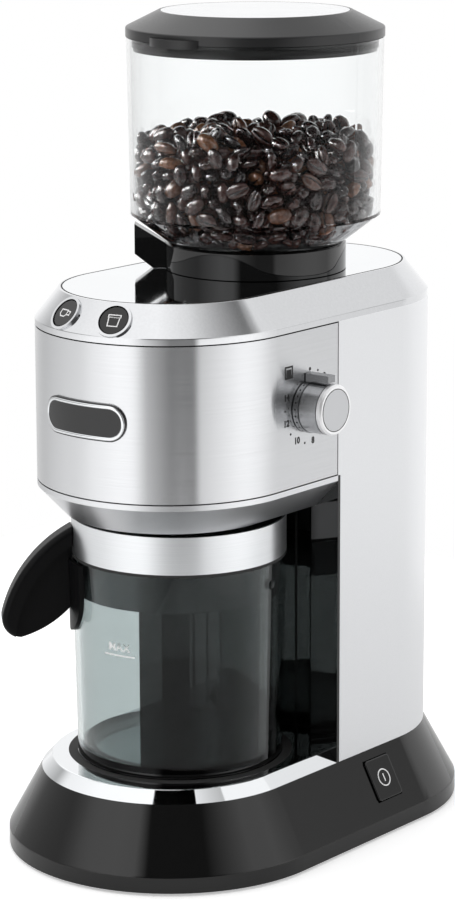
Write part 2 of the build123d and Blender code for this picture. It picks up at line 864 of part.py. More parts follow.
with BuildPart() as strength_knob:
    with BuildSketch(knob_plane):
        Circle(knob_radius)
    extrude(amount=knob_length)
    with BuildSketch(knob_plane.offset(knob_length)):
        Circle(knob_radius - knob_groove_depth)
    extrude(amount=knob_groove)
    with BuildSketch(knob_plane):
        Circle(knob_shaft_radius)
    extrude(amount=-knob_shaft_length)

with BuildPart() as knob_cap:
    with BuildSketch(knob_plane.offset(knob_length + knob_groove)):
        Circle(knob_radius)
    extrude(amount=knob_cap_height)
    chamfer(knob_cap.edges().group_by(Axis.X)[-1], knob_cap_chamfer)

# Chassis: plate on four legs that carries the motor, the gears and the burr housing
leg_circle = body_half - column_wall - leg_wall_gap - chassis_leg_radius
rear_leg_x = leg_circle * sin(radians(rear_leg_angle))
rear_leg_y = arc_y + leg_circle * cos(radians(rear_leg_angle))
legs_at = [(side * leg_circle, front_leg_y) for side in (-1, 1)]
legs_at += [(side * rear_leg_x, rear_leg_y) for side in (-1, 1)]
bush_radius = burr_shaft_radius + shaft_gap + bush_wall
screw_offset = motor_screw_circle / sqrt(2)
motor_screws_at = [(side * screw_offset, motor_axis_y - side * screw_offset) for side in (-1, 1)]

with BuildPart() as chassis:
    slot_block(chassis_bottom, chassis_top, body_width - 2 * (column_wall + chassis_gap))
    split(bisect_by=Plane.XZ.offset(-chassis_front_y), keep=Keep.BOTTOM)
    with BuildSketch(Plane.XY.offset(skirt_top)):
        with Locations(*legs_at):
            Circle(chassis_leg_radius)
    extrude(amount=chassis_bottom - skirt_top)
    disc(burr_centre, chassis_bottom, chassis_plate, bush_radius, Mode.SUBTRACT)
    disc(idler_centre, chassis_bottom, chassis_plate, idler_pin_radius, Mode.SUBTRACT)
    disc(motor_centre, chassis_bottom, chassis_plate, motor_boss_radius + shaft_gap, Mode.SUBTRACT)
    with BuildSketch(Plane.XY.offset(chassis_bottom)):
        with Locations(*motor_screws_at):
            Circle(motor_screw_radius + shaft_gap)
    extrude(amount=chassis_plate, mode=Mode.SUBTRACT)

with BuildPart() as gear_cover:
    final_tip = gear_module * (final_teeth / 2 + gear_addendum)
    wheel_tip = gear_module * (idler_wheel_teeth / 2 + gear_addendum)
    pinion_tip = gear_module * (pinion_teeth / 2 + gear_addendum)
    rooms = [(burr_centre, final_tip), (idler_centre, wheel_tip), (motor_centre, pinion_tip)]
    with BuildSketch(Plane.XY.offset(chassis_top)) as cover_outline:
        for centre, tip in rooms:
            with Locations(centre):
                Circle(tip + gear_room + gear_cover_wall)
        make_hull(cover_outline.edges())
    extrude(amount=gear_cover_height)
    with BuildSketch(Plane.XY.offset(chassis_top)) as cover_room:
        for centre, tip in rooms:
            with Locations(centre):
                Circle(tip + gear_room)
        make_hull(cover_room.edges())
    extrude(amount=gear_cover_height - gear_cover_wall, mode=Mode.SUBTRACT)
    roof_bottom = housing_bottom - gear_cover_wall
    disc(burr_centre, roof_bottom, gear_cover_wall, bush_radius + bush_flange + seam_gap, Mode.SUBTRACT)
    disc(idler_centre, roof_bottom, gear_cover_wall, idler_pin_radius, Mode.SUBTRACT)

with BuildPart() as shaft_bushes:
    turned(
        [
            (burr_shaft_radius + shaft_gap, chassis_bottom),
            (bush_radius, chassis_bottom),
            (bush_radius, chassis_top),
            (bush_radius + bush_flange, chassis_top),
            (bush_radius + bush_flange, chassis_top + bush_flange),
            (burr_shaft_radius + shaft_gap, chassis_top + bush_flange),
        ],
        burr_axis_y,
    )
    turned(
        [
            (burr_shaft_radius + shaft_gap, housing_bottom - bush_flange),
            (bush_radius + bush_flange, housing_bottom - bush_flange),
            (bush_radius + bush_flange, housing_bottom),
            (bush_radius, housing_bottom),
            (bush_radius, chamber_floor),
            (burr_shaft_radius + shaft_gap, chamber_floor),
        ],
        burr_axis_y,
    )

with BuildPart() as burr_housing:
    turned(
        [
            (bush_radius, housing_bottom),
            (chamber_radius + housing_wall, housing_bottom),
            (chamber_radius + housing_wall, chamber_top - housing_wall),
            (housing_radius, chamber_top - housing_wall),
            (housing_radius, cover_ceiling - housing_flange_sheet),
            (housing_radius + housing_flange, cover_ceiling - housing_flange_sheet),
            (housing_radius + housing_flange, cover_ceiling),
            (housing_bore, cover_ceiling),
            (housing_bore, chamber_top),
            (chamber_radius, chamber_top),
            (chamber_radius, chamber_floor),
            (bush_radius, chamber_floor),
        ],
        burr_axis_y,
    )
    with BuildSketch(Plane.XZ.offset(-burr_axis_y + chamber_radius)):
        with Locations((0, outlet_z)):
            Rectangle(outlet_width + 2 * outlet_wall, outlet_height + 2 * outlet_wall)
    extrude(amount=outlet_reach - chamber_radius)
    with BuildSketch(Plane.XZ.offset(-outlet_y)):
        with Locations((0, outlet_z)):
            Rectangle(outlet_width, outlet_height)
    extrude(amount=-outlet_reach + bush_radius + housing_wall, mode=Mode.SUBTRACT)

with BuildPart() as coffee_chute:
    with BuildLine() as chute_path:
        FilletPolyline(
            (0, outlet_y, outlet_z),
            (0, outlet_y - chute_level_run, outlet_z),
            (0, cup_axis_y, outlet_z - chute_drop),
            (0, cup_axis_y, underside_z),
            radius=chute_bend_radius,
        )
    with BuildSketch(Plane(origin=(0, outlet_y, outlet_z), x_dir=(1, 0, 0), z_dir=(0, -1, 0))):
        RectangleRounded(outlet_width + 2 * chute_wall, outlet_height + 2 * chute_wall, chute_corner)
        Rectangle(outlet_width, outlet_height, mode=Mode.SUBTRACT)
    sweep()

# Burrs and everything that turns with them
with BuildPart() as burr_shaft:
    turned(tube_profile(0, burr_shaft_radius, chassis_bottom + shaft_end_play, cone_burr_top), burr_axis_y)
    turned(
        tube_profile(
            burr_shaft_radius,
            burr_shaft_radius + burr_shaft_shoulder,
            chassis_top + bush_flange + run_gap,
            final_bottom,
        ),
        burr_axis_y,
    )
    disc(burr_centre, cone_burr_top, nut_height, nut_thread_radius)

with BuildPart() as final_gear:
    gear_block(burr_centre, final_bottom, wheel_face, final_teeth, to_burr + 180 + 180 / final_teeth)
    disc(burr_centre, final_top, final_hub_height, final_hub_radius)
    disc(burr_centre, final_bottom, wheel_face + final_hub_height, burr_shaft_radius, Mode.SUBTRACT)

with BuildPart() as sweeper:
    disc(burr_centre, cone_burr_bottom - sweeper_disc, sweeper_disc, sweeper_disc_radius)
    disc(burr_centre, sweeper_bottom, cone_burr_bottom - sweeper_bottom, sweeper_hub_radius)
    with BuildSketch(Plane((0, burr_axis_y, sweeper_bottom))):
        with PolarLocations(0, sweeper_paddle_count):
            Rectangle(chamber_radius - sweeper_wall_gap, sweeper_paddle, align=(Align.MIN, Align.CENTER))
    extrude(amount=cone_burr_bottom - sweeper_disc - sweeper_bottom)
    disc(burr_centre, sweeper_bottom, cone_burr_bottom - sweeper_bottom, burr_shaft_radius, Mode.SUBTRACT)

with BuildPart() as cone_burr:
    burr_taper(
        (cone_burr_bottom, cone_burr_top),
        (cone_base_radius - burr_tooth_depth, cone_top_radius - burr_tooth_depth),
        (cone_base_radius, cone_top_radius),
        cone_burr_teeth,
        cone_burr_twist,
    )
    disc(burr_centre, cone_burr_bottom, cone_burr_height, burr_shaft_radius, Mode.SUBTRACT)

with BuildPart() as burr_nut:
    with BuildSketch(Plane((0, burr_axis_y, cone_burr_top))):
        RegularPolygon(nut_radius, 6)
        Circle(nut_thread_radius, mode=Mode.SUBTRACT)
    extrude(amount=nut_height)

with BuildPart() as ring_burr:
    disc(burr_centre, carrier_bottom, ring_burr_height, ring_burr_radius)
    ring_burr_top_radius = ring_burr_base_radius - ring_burr_slope
    burr_taper(
        (carrier_bottom, carrier_seat_top),
        (ring_burr_base_radius, ring_burr_top_radius),
        (ring_burr_base_radius + burr_tooth_depth, ring_burr_top_radius + burr_tooth_depth),
        ring_burr_teeth,
        -cone_burr_twist,
        Mode.SUBTRACT,
    )

with BuildPart() as burr_carrier:
    turned(
        [
            (ring_burr_radius + shaft_gap, carrier_bottom),
            (collar_skirt_radius, carrier_bottom),
            (collar_skirt_radius, carrier_top),
            (funnel_radius, carrier_top),
            (ring_burr_base_radius, carrier_seat_top),
            (ring_burr_radius + shaft_gap, carrier_seat_top),
        ],
        burr_axis_y,
    )
    with BuildSketch(Plane((0, burr_axis_y, carrier_top))):
        ring_sectors(collar_bore, collar_skirt_radius, carrier_lug_count, lug_chord)
    extrude(amount=carrier_lug_height)

# Collar that sets the grind, with its wing
with BuildPart() as grind_ring:
    turned(
        [
            (collar_bore, collar_skirt_bottom),
            (collar_skirt_radius, collar_skirt_bottom),
            (collar_skirt_radius, collar_bottom),
            (collar_radius, collar_bottom),
            (collar_radius, collar_top - collar_edge),
            (collar_radius - collar_edge, collar_top),
            (collar_bore, collar_top),
        ],
        burr_axis_y,
    )
    with BuildSketch(upright_plane(burr_axis_y, wing_angle)):
        Polygon(
            (collar_bore + collar_skirt_wall, collar_bottom),
            (wing_toe_reach, collar_bottom),
            (wing_reach, collar_bottom + wing_toe_rise),
            (wing_reach, collar_bottom + wing_height),
            (collar_radius, collar_top - collar_edge),
            (collar_bore + collar_skirt_wall, collar_top - collar_edge),
            align=None,
        )
    extrude(amount=wing_thickness / 2, both=True)
    with BuildSketch(Plane((0, burr_axis_y, collar_skirt_bottom))):
        with PolarLocations(0, carrier_lug_count):
            Rectangle(housing_bore, lug_chord + 2 * run_gap, align=(Align.MIN, Align.CENTER))
    extrude(amount=collar_notch_top - collar_skirt_bottom, mode=Mode.SUBTRACT)

# Gears between the motor and the burr shaft
with BuildPart() as idler_gear:
    disc(idler_centre, wheel_bottom - idler_hub_height, idler_hub_height, idler_hub_radius)
    gear_block(idler_centre, wheel_bottom, wheel_face, idler_wheel_teeth, to_motor)
    gear_block(
        idler_centre, wheel_top, gear_level_gap + wheel_face + pinion_overhang, idler_pinion_teeth, to_burr
    )
    disc(
        idler_centre,
        wheel_bottom - idler_hub_height,
        final_top + pinion_overhang - wheel_bottom + idler_hub_height,
        idler_pin_radius + shaft_gap,
        Mode.SUBTRACT,
    )

with BuildPart() as idler_pin:
    disc(idler_centre, chassis_bottom, housing_bottom - chassis_bottom, idler_pin_radius)

with BuildPart() as motor_pinion:
    gear_block(
        motor_centre,
        wheel_bottom - pinion_overhang,
        wheel_face + 2 * pinion_overhang,
        pinion_teeth,
        to_motor + 180 + 180 / pinion_teeth,
    )
    disc(
        motor_centre,
        wheel_bottom - pinion_overhang,
        wheel_face + 2 * pinion_overhang,
        motor_shaft_radius,
        Mode.SUBTRACT,
    )

# Motor
with BuildPart() as motor_can:
    turned(
        [
            (motor_bore, motor_bottom),
            (motor_radius, motor_bottom),
            (motor_radius, chassis_bottom),
            (motor_boss_radius, chassis_bottom),
            (motor_boss_radius, chassis_top),
            (motor_shaft_radius + shaft_gap, chassis_top),
            (motor_shaft_radius + shaft_gap, chassis_bottom - motor_top),
            (motor_bore, chassis_bottom - motor_top),
        ],
        motor_axis_y,
    )
    with BuildSketch(Plane.XY.offset(chassis_bottom)):
        with Locations(*motor_screws_at):
            Circle(motor_screw_radius + shaft_gap)
    extrude(amount=-motor_top, mode=Mode.SUBTRACT)

magnet_radius = motor_bore - magnet_gap
armature_radius = magnet_radius - magnet_thickness - armature_gap
armature_top = chassis_bottom - armature_drop
armature_bottom = armature_top - armature_length

with BuildPart() as motor_magnets:
    with BuildSketch(Plane((0, motor_axis_y, chassis_bottom - magnet_drop - magnet_length))):
        Circle(magnet_radius)
        Circle(magnet_radius - magnet_thickness, mode=Mode.SUBTRACT)
        Rectangle(magnet_pole_gap, 2 * magnet_radius, mode=Mode.SUBTRACT)
    extrude(amount=magnet_length)

with BuildPart() as motor_armature:
    with BuildSketch(Plane((0, motor_axis_y, armature_bottom))):
        Circle(armature_radius)
        with PolarLocations(armature_radius, armature_slots):
            Rectangle(
                armature_slot_depth,
                armature_slot_width,
                align=(Align.MAX, Align.CENTER),
                mode=Mode.SUBTRACT,
            )
    extrude(amount=armature_length)
    disc(
        motor_centre,
        armature_bottom - commutator_gap - commutator_length,
        commutator_gap + commutator_length,
        commutator_radius,
    )
    disc(
        motor_centre,
        armature_bottom - commutator_gap - commutator_length,
        armature_length + commutator_gap + commutator_length,
        motor_shaft_radius,
        Mode.SUBTRACT,
    )

with BuildPart() as motor_shaft:
    shaft_bottom = motor_bottom - end_cap_plate
    disc(motor_centre, shaft_bottom, wheel_top + pinion_overhang - shaft_bottom, motor_shaft_radius)

with BuildPart() as motor_end_cap:
    turned(
        [
            (motor_shaft_radius + shaft_gap, motor_bottom - end_cap_plate),
            (motor_radius, motor_bottom - end_cap_plate),
            (motor_radius, motor_bottom),
            (motor_bore - shaft_gap, motor_bottom),
            (motor_bore - shaft_gap, motor_bottom + end_cap_spigot),
            (end_cap_boss_radius, motor_bottom + end_cap_spigot),
            (end_cap_boss_radius, motor_bottom + end_cap_spigot + end_cap_boss),
            (motor_shaft_radius + shaft_gap, motor_bottom + end_cap_spigot + end_cap_boss),
        ],
        motor_axis_y,
    )

with BuildPart() as motor_screws:
    with BuildSketch(Plane.XY.offset(chassis_top)):
        with Locations(*motor_screws_at):
            Circle(motor_screw_head_radius)
    extrude(amount=motor_screw_head)
    with BuildSketch(Plane.XY.offset(chassis_top)):
        with Locations(*motor_screws_at):
            Circle(motor_screw_radius)
    extrude(amount=-chassis_plate - motor_top)

# Hopper and lid
bowl_floor_top = bowl_bottom + bowl_wall

with BuildPart() as hopper_bowl:
    turned(
        [
            (neck_radius + shaft_gap, bowl_bottom),
            (bowl_seat_radius, bowl_bottom),
            (bowl_corner_radius, bowl_corner_z),
            (bowl_rim_radius, bowl_top),
            (bowl_rim_radius - bowl_wall, bowl_top),
            (bowl_corner_radius - bowl_wall, bowl_corner_z + bowl_wall / 2),
            (bowl_seat_radius - bowl_wall / 2, bowl_floor_top),
            (neck_radius + shaft_gap, bowl_floor_top),
        ],
        burr_axis_y,
    )

with BuildPart() as hopper_neck:
    neck_bottom = bowl_bottom - neck_depth
    turned(
        [
            (neck_radius - neck_wall, neck_bottom),
            (neck_radius, neck_bottom),
            (neck_radius, bowl_floor_top),
            (neck_radius + neck_flange, bowl_floor_top),
            (neck_radius + neck_flange, bowl_floor_top + neck_flange_sheet),
            (neck_radius - neck_wall, bowl_floor_top + neck_flange_sheet),
        ],
        burr_axis_y,
    )

lid_skirt_radius = bowl_rim_radius - bowl_wall - run_gap - lid_seal_depth
lid_skirt_bottom = lid_bottom - lid_skirt_depth
lid_pocket_radius = lid_disc_radius + seam_gap

with BuildPart() as hopper_lid:
    turned(
        [
            (lid_skirt_radius - lid_skirt_wall, lid_skirt_bottom),
            (lid_skirt_radius, lid_skirt_bottom),
            (lid_skirt_radius, lid_bottom),
            (lid_radius, lid_bottom),
            (lid_radius, lid_corner_z),
            (lid_pocket_radius + lid_disc_border, lid_top),
            (lid_pocket_radius, lid_top),
            (lid_pocket_radius, lid_top - lid_disc_sheet),
            (0, lid_top - lid_disc_sheet),
            (0, lid_top - lid_disc_sheet - lid_wall),
            (lid_pocket_radius - lid_wall, lid_top - lid_disc_sheet - lid_wall),
            (lid_skirt_radius - lid_skirt_wall, lid_bottom + lid_wall),
        ],
        burr_axis_y,
    )
    fillet(hopper_lid.edges().filter_by_position(Axis.Z, lid_corner_z, lid_corner_z), lid_round)
    tab_centre = lid_radius + lid_tab_reach - lid_tab_round
    with BuildSketch(Plane((0, burr_axis_y, lid_bottom))):
        with Locations((0, -tab_centre)):
            Circle(lid_tab_round)
        Circle(lid_radius - lid_wall, mode=Mode.SUBTRACT)
    extrude(amount=lid_tab_height)
    with BuildSketch(Plane((0, burr_axis_y, lid_bottom))):
        with Locations((0, -tab_centre)):
            Circle(lid_tab_round)
        Circle(bowl_rim_radius + 2 * run_gap, mode=Mode.SUBTRACT)
    extrude(amount=-lid_tab_drop)

with BuildPart() as lid_disc:
    disc(burr_centre, lid_top - lid_disc_sheet, lid_disc_sheet, lid_disc_radius)

with BuildPart() as lid_seal:
    seal_middle = lid_bottom - lid_skirt_depth / 2
    turned(
        tube_profile(
            lid_skirt_radius,
            lid_skirt_radius + lid_seal_depth,
            seal_middle - lid_seal_height / 2,
            seal_middle + lid_seal_height / 2,
        ),
        burr_axis_y,
    )

# Coffee container
cup_lid_outer = lid_ring_radius - lid_ring_sheet - shaft_gap
cup_lid_skirt_bottom = lid_ring_bottom - cup_lid_skirt


def cup_radius(level):
    """Outer radius of the tapered cup at a level."""
    return cup_base_radius + (cup_rim_radius - cup_base_radius) * (level - cup_floor_z) / cup_height


with BuildPart() as container_cup:
    turned(
        [
            (0, cup_floor_z),
            (cup_base_radius, cup_floor_z),
            (cup_rim_radius, cup_rim_z),
            (cup_rim_radius - cup_wall, cup_rim_z),
            (cup_radius(cup_floor_z + cup_floor) - cup_wall, cup_floor_z + cup_floor),
            (0, cup_floor_z + cup_floor),
        ],
        cup_axis_y,
    )

with BuildPart() as container_foot:
    turned(
        tube_profile(cup_base_radius - cup_foot_width, cup_base_radius, deck_top, cup_floor_z), cup_axis_y
    )
    fillet(container_foot.edges().group_by(Axis.Z)[0].sort_by(SortBy.LENGTH)[-1], cup_foot_edge)

with BuildPart() as container_seal:
    seal_radius = cup_rim_radius + seam_gap
    turned(tube_profile(seal_radius - cup_seal_width, seal_radius, cup_rim_z, lid_ring_bottom), cup_axis_y)

with BuildPart() as container_lid_ring:
    turned(
        tube_profile(lid_ring_radius - lid_ring_sheet, lid_ring_radius, lid_ring_bottom, lid_ring_top),
        cup_axis_y,
    )

with BuildPart() as container_lid:
    skirt_radius = cup_radius(cup_lid_skirt_bottom) - cup_wall - cup_lid_skirt_gap
    turned(
        [
            (cup_lid_hole_radius, cup_lid_top),
            (cup_lid_hole_radius, cup_lid_top - cup_lid_plate),
            (skirt_radius - cup_lid_wall, cup_lid_top - cup_lid_plate),
            (skirt_radius - cup_lid_wall, cup_lid_skirt_bottom),
            (skirt_radius, cup_lid_skirt_bottom),
            (skirt_radius, lid_ring_bottom),
            (cup_lid_outer, lid_ring_bottom),
            (cup_lid_outer, cup_lid_top),
        ],
        cup_axis_y,
    )

handle_plane = upright_plane(cup_axis_y, handle_angle)
handle_root = lid_ring_radius + 2 * shaft_gap
handle_top = (handle_root, lid_ring_top - handle_top_drop)
handle_shoulder = (lid_ring_radius + handle_shoulder_span, lid_ring_top - handle_shoulder_drop)
handle_back = (lid_ring_radius + handle_span, lid_ring_top - handle_span_drop)
handle_tip = (lid_ring_radius + handle_tip_span, lid_ring_top - handle_tip_drop)
handle_heel = (lid_ring_radius + handle_heel_span, lid_ring_top - handle_heel_drop)
handle_foot = (handle_root, lid_ring_top - handle_root_drop)
tongue_top = lid_ring_top - tongue_top_drop
tongue_tip = lid_ring_top - tongue_tip_drop
tongue_round = tongue_tip + tongue_width / 2

with BuildPart() as handle_tongue:
    turned(
        [
            (cup_radius(tongue_tip) + shaft_gap, tongue_tip),
            (cup_radius(tongue_tip) + tongue_thickness, tongue_tip),
            (cup_radius(tongue_top) + tongue_thickness, tongue_top),
            (cup_radius(tongue_top) + shaft_gap, tongue_top),
        ],
        cup_axis_y,
    )
    with BuildSketch(
        Plane(origin=(0, cup_axis_y, 0), x_dir=-handle_plane.z_dir, z_dir=handle_plane.x_dir)
    ):
        with Locations((0, tongue_round)):
            Circle(tongue_width / 2)
            Rectangle(tongue_width, tongue_top - tongue_round, align=(Align.CENTER, Align.MIN))
    extrude(amount=lid_ring_radius + tongue_thickness, mode=Mode.INTERSECT)

with BuildPart() as container_handle:
    with BuildSketch(handle_plane):
        with BuildLine():
            back = ThreePointArc(handle_top, handle_shoulder, handle_back)
            TangentArc(handle_back, handle_tip, tangent=back % 1)
            ThreePointArc(handle_tip, handle_heel, handle_foot)
            Line(handle_foot, handle_top)
        make_face()
    extrude(amount=handle_rim_width / 2, both=True)
    rim_edges = container_handle.faces().filter_by(handle_plane).edges().filter_by(GeomType.CIRCLE)
    fillet(rim_edges, handle_rim_round)
    for side in (-1, 1):
        with BuildSketch(handle_plane.offset(side * handle_web / 2)):
            with Locations((back.arc_center.X, back.arc_center.Y)):
                Circle(back.radius - handle_rim)
        extrude(amount=side * handle_rim_width, mode=Mode.SUBTRACT)
    turned(tube_profile(0, handle_root, handle_tip[1], lid_ring_top), cup_axis_y, Mode.SUBTRACT)
    add(handle_tongue.part)

pieces = {
    "base_shell": base_shell.part,
    "bottom_cover": bottom_cover.part,
    "rubber_feet": rubber_feet.part,
    "base_screws": base_screws.part,
    "base_deck": base_deck.part,
    "cord_gland": cord_gland.part,
    "power_switch": power_switch.part,
    "power_button": power_button.part,
    "column_shell": column_shell.part,
    "bay_wall": bay_wall.part,
    "head_lower_ring": head_lower_ring.part,
    "head_underplate": head_underplate.part,
    "head_front_panel": head_front_panel.part,
    "top_cover": top_cover.part,
    "top_deck": top_deck.part,
    "button_bezels": button_bezels.part,
    "left_button": buttons["left_button"],
    "right_button": buttons["right_button"],
    "control_board": control_board.part,
    "dial_switch": dial_switch.part,
    "quantity_ring": quantity_ring.part,
    "strength_knob": strength_knob.part,
    "knob_cap": knob_cap.part,
    "chassis": chassis.part,
    "gear_cover": gear_cover.part,
    "shaft_bushes": shaft_bushes.part,
    "burr_housing": burr_housing.part,
    "coffee_chute": coffee_chute.part,
    "burr_shaft": burr_shaft.part,
    "final_gear": final_gear.part,
    "sweeper": sweeper.part,
    "cone_burr": cone_burr.part,
    "burr_nut": burr_nut.part,
    "ring_burr": ring_burr.part,
    "burr_carrier": burr_carrier.part,
    "grind_ring": grind_ring.part,
    "idler_gear": idler_gear.part,
    "idler_pin": idler_pin.part,
    "motor_pinion": motor_pinion.part,
    "motor_can": motor_can.part,
    "motor_magnets": motor_magnets.part,
    "motor_armature": motor_armature.part,
    "motor_shaft": motor_shaft.part,
    "motor_end_cap": motor_end_cap.part,
    "motor_screws": motor_screws.part,
    "hopper_bowl": hopper_bowl.part,
    "hopper_neck": hopper_neck.part,
    "hopper_lid": hopper_lid.part,
    "lid_disc": lid_disc.part,
    "lid_seal": lid_seal.part,
    "container_cup": container_cup.part,
    "container_foot": container_foot.part,
    "container_seal": container_seal.part,
    "container_lid_ring": container_lid_ring.part,
    "container_lid": container_lid.part,
    "container_handle": container_handle.part,
}

os.makedirs("parts", exist_ok=True)
for name, piece in pieces.items():
    piece.label = name
    export_step(piece, f"parts/{name}.step")
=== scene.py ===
"""Looks of an upright burr coffee grinder: finishes, coffee beans, printed marks and a white studio."""

from math import cos, hypot, pi, radians, sin
from typing import NamedTuple

import bmesh
import bpy
import numpy as np
from bpy.props import FloatProperty, FloatVectorProperty, IntProperty, PointerProperty
from bpy.types import Operator, Panel, PropertyGroup
from mathutils import Euler, Matrix, Vector
from mathutils.kdtree import KDTree


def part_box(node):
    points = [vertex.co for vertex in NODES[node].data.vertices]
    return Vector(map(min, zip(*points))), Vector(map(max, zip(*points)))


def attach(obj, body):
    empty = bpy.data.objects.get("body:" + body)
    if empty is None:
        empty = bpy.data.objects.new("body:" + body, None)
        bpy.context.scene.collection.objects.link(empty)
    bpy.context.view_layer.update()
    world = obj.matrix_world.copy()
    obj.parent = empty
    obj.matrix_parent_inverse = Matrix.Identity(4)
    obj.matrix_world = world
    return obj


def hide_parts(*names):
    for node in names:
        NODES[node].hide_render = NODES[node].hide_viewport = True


bl_info = {
    "name": "Burr coffee grinder",
    "version": (1, 0, 0),
    "blender": (4, 5, 0),
    "location": "View3D > Sidebar > Grinder",
    "description": "Finishes, beans, printed marks and studio for a burr coffee grinder",
    "category": "Add Mesh",
}

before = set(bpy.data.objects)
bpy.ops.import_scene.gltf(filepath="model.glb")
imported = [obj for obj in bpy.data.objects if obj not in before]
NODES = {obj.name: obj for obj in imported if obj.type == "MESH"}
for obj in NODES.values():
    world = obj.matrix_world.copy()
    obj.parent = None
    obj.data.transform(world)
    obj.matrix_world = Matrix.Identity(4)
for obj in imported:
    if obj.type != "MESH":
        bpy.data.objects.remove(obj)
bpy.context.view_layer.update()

MM = 0.001
RIGHT = Vector((1, 0, 0))
BACK = Vector((0, 1, 0))
UP = Vector((0, 0, 1))

panel_low, panel_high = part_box("head_front_panel")
PANEL_RADIUS = panel_high.x
PANEL_CENTRE = Vector((0, panel_low.y + PANEL_RADIUS, 0))
bowl_low, bowl_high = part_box("hopper_bowl")
BURR_AXIS = Vector((0, (bowl_low.y + bowl_high.y) / 2, 0))
cup_low, cup_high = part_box("container_cup")
CUP_AXIS = Vector((0, (cup_low.y + cup_high.y) / 2, 0))
knob_low, knob_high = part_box("knob_cap")
DIAL_CENTRE = Vector((PANEL_RADIUS, (knob_low.y + knob_high.y) / 2, (knob_low.z + knob_high.z) / 2))


def cup_radius(level):
    """Outer radius of the tapered cup at a height, between its foot and its rim."""
    foot = max(point.co.x for point in NODES["container_cup"].data.vertices if point.co.z < cup_low.z + MM)
    return foot + (cup_high.x - foot) * (level - cup_low.z) / (cup_high.z - cup_low.z)


def linear(shade):
    """Linear colour of an sRGB hex value."""
    parts = [int(shade[place : place + 2], 16) / 255 for place in (0, 2, 4)]
    return tuple(p / 12.92 if p <= 0.04045 else ((p + 0.055) / 1.055) ** 2.4 for p in parts) + (1.0,)


def colour(label, shade):
    """A colour that the user can change."""
    return FloatVectorProperty(
        name=label,
        description=f"Colour of the {label.lower()}",
        subtype="COLOR",
        size=4,
        min=0.0,
        max=1.0,
        default=linear(shade),
    )


def length(label, description, default):
    """A length that the user can change, in metres."""
    return FloatProperty(
        name=label, description=description, default=default, min=0.0, precision=5, unit="LENGTH"
    )


class GrinderSizes(PropertyGroup):
    """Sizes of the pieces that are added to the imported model."""

    bean_length: length("Bean length", "Length of a roasted coffee bean", 10.4 * MM)
    bean_width: length("Bean width", "Width of a roasted coffee bean", 7.8 * MM)
    bean_count: IntProperty(
        name="Bean count", description="Beans that settle in the hopper", default=1080, min=1
    )
    bean_seed: IntProperty(name="Bean seed", description="Seed of the beans' places and roast", default=11)
    badge_width: length("Badge width", "Width of the bare badge along the front", 47 * MM)
    badge_height: length("Badge height", "Height of the bare badge", 17 * MM)
    badge_corner: length("Badge corner", "Radius of the badge's corners", 8.2 * MM)
    badge_middle: length("Badge level", "Height of the badge's middle above the table", 213 * MM)
    numeral_height: length("Numeral height", "Height of the dial numbers", 2.9 * MM)
    dial_mark_radius: length("Dial mark radius", "Distance of the dial marks from its axis", 16.9 * MM)
    ink: length("Ink", "Thickness of a printed mark", 0.05 * MM)
    stand_width: length("Stand ring width", "Width of the ring round the container's foot", 4.5 * MM)
    # Width of the black strip that paints the shade in the joint round the top deck
    seal_width: length("Joint shade width", "Width of the seal round the top deck", 0.7 * MM)
    level_line: length("Level line", "Height of the fill line above the table", 100.7 * MM)
    floor: length("Floor", "Side of the white table top", 0.9)


class GrinderColours(PropertyGroup):
    """Colours of the finishes."""

    brushed_steel: colour("Brushed steel", "d7d8da")
    polished_steel: colour("Polished steel", "dcdddf")
    chrome: colour("Chrome plate", "e4e6e8")
    cover_metal: colour("Satin cover", "d6d7d9")
    silver_paint: colour("Silver paint", "e5e6e8")
    dial_metal: colour("Turned dial", "bdbec0")
    ring_metal: colour("Turned ring", "9d9ea0")
    blasted_metal: colour("Blasted rim", "f6f6f7")
    face_metal: colour("Blasted face", "c9cacc")
    gloss_black: colour("Gloss black", "090909")
    satin_black: colour("Satin black", "0c0c0d")
    lid_grey: colour("Lid grey", "1a1a1b")
    badge_grey: colour("Badge grey", "1e1e1f")
    rubber: colour("Rubber", "080808")
    clear: colour("Clear plastic", "feffff")
    smoke: colour("Smoked plastic", "c4cbcb")
    dark_smoke: colour("Dark smoked plastic", "5c5f60")
    roast_dark: colour("Dark roast", "1f1114")
    roast_middle: colour("Middle roast", "513029")
    roast_light: colour("Light roast", "9a6440")
    # Near-black for the bean's crease: painted shade in the groove
    bean_crease: colour("Bean crease shade", "0b0606")
    white_ink: colour("White ink", "fafafa")
    black_ink: colour("Black ink", "131314")
    nylon: colour("Nylon", "dcd8cc")
    bronze: colour("Bearing bronze", "b08650")
    tool_steel: colour("Tool steel", "a9aaad")
    ferrite: colour("Ferrite", "262627")
    copper_iron: colour("Wound iron", "7a5136")
    board_green: colour("Circuit board", "1d5a33")
    grey_plastic: colour("Grey plastic", "5d5e61")
    zinc: colour("Zinc plate", "b4b6ba")
    floor: colour("Floor", "f2f2f2")


def fill(tree, node, sockets):
    """Links or sets a node's input sockets."""
    for socket, value in sockets.items():
        if isinstance(value, bpy.types.NodeSocket):
            tree.links.new(value, node.inputs[socket])
        else:
            node.inputs[socket].default_value = value


def add_node(tree, kind, sockets=None, **settings):
    """Adds a node with its settings, and links or sets its input sockets."""
    added = tree.nodes.new(kind)
    for name, value in settings.items():
        setattr(added, name, value)
    fill(tree, added, sockets or {})
    return added


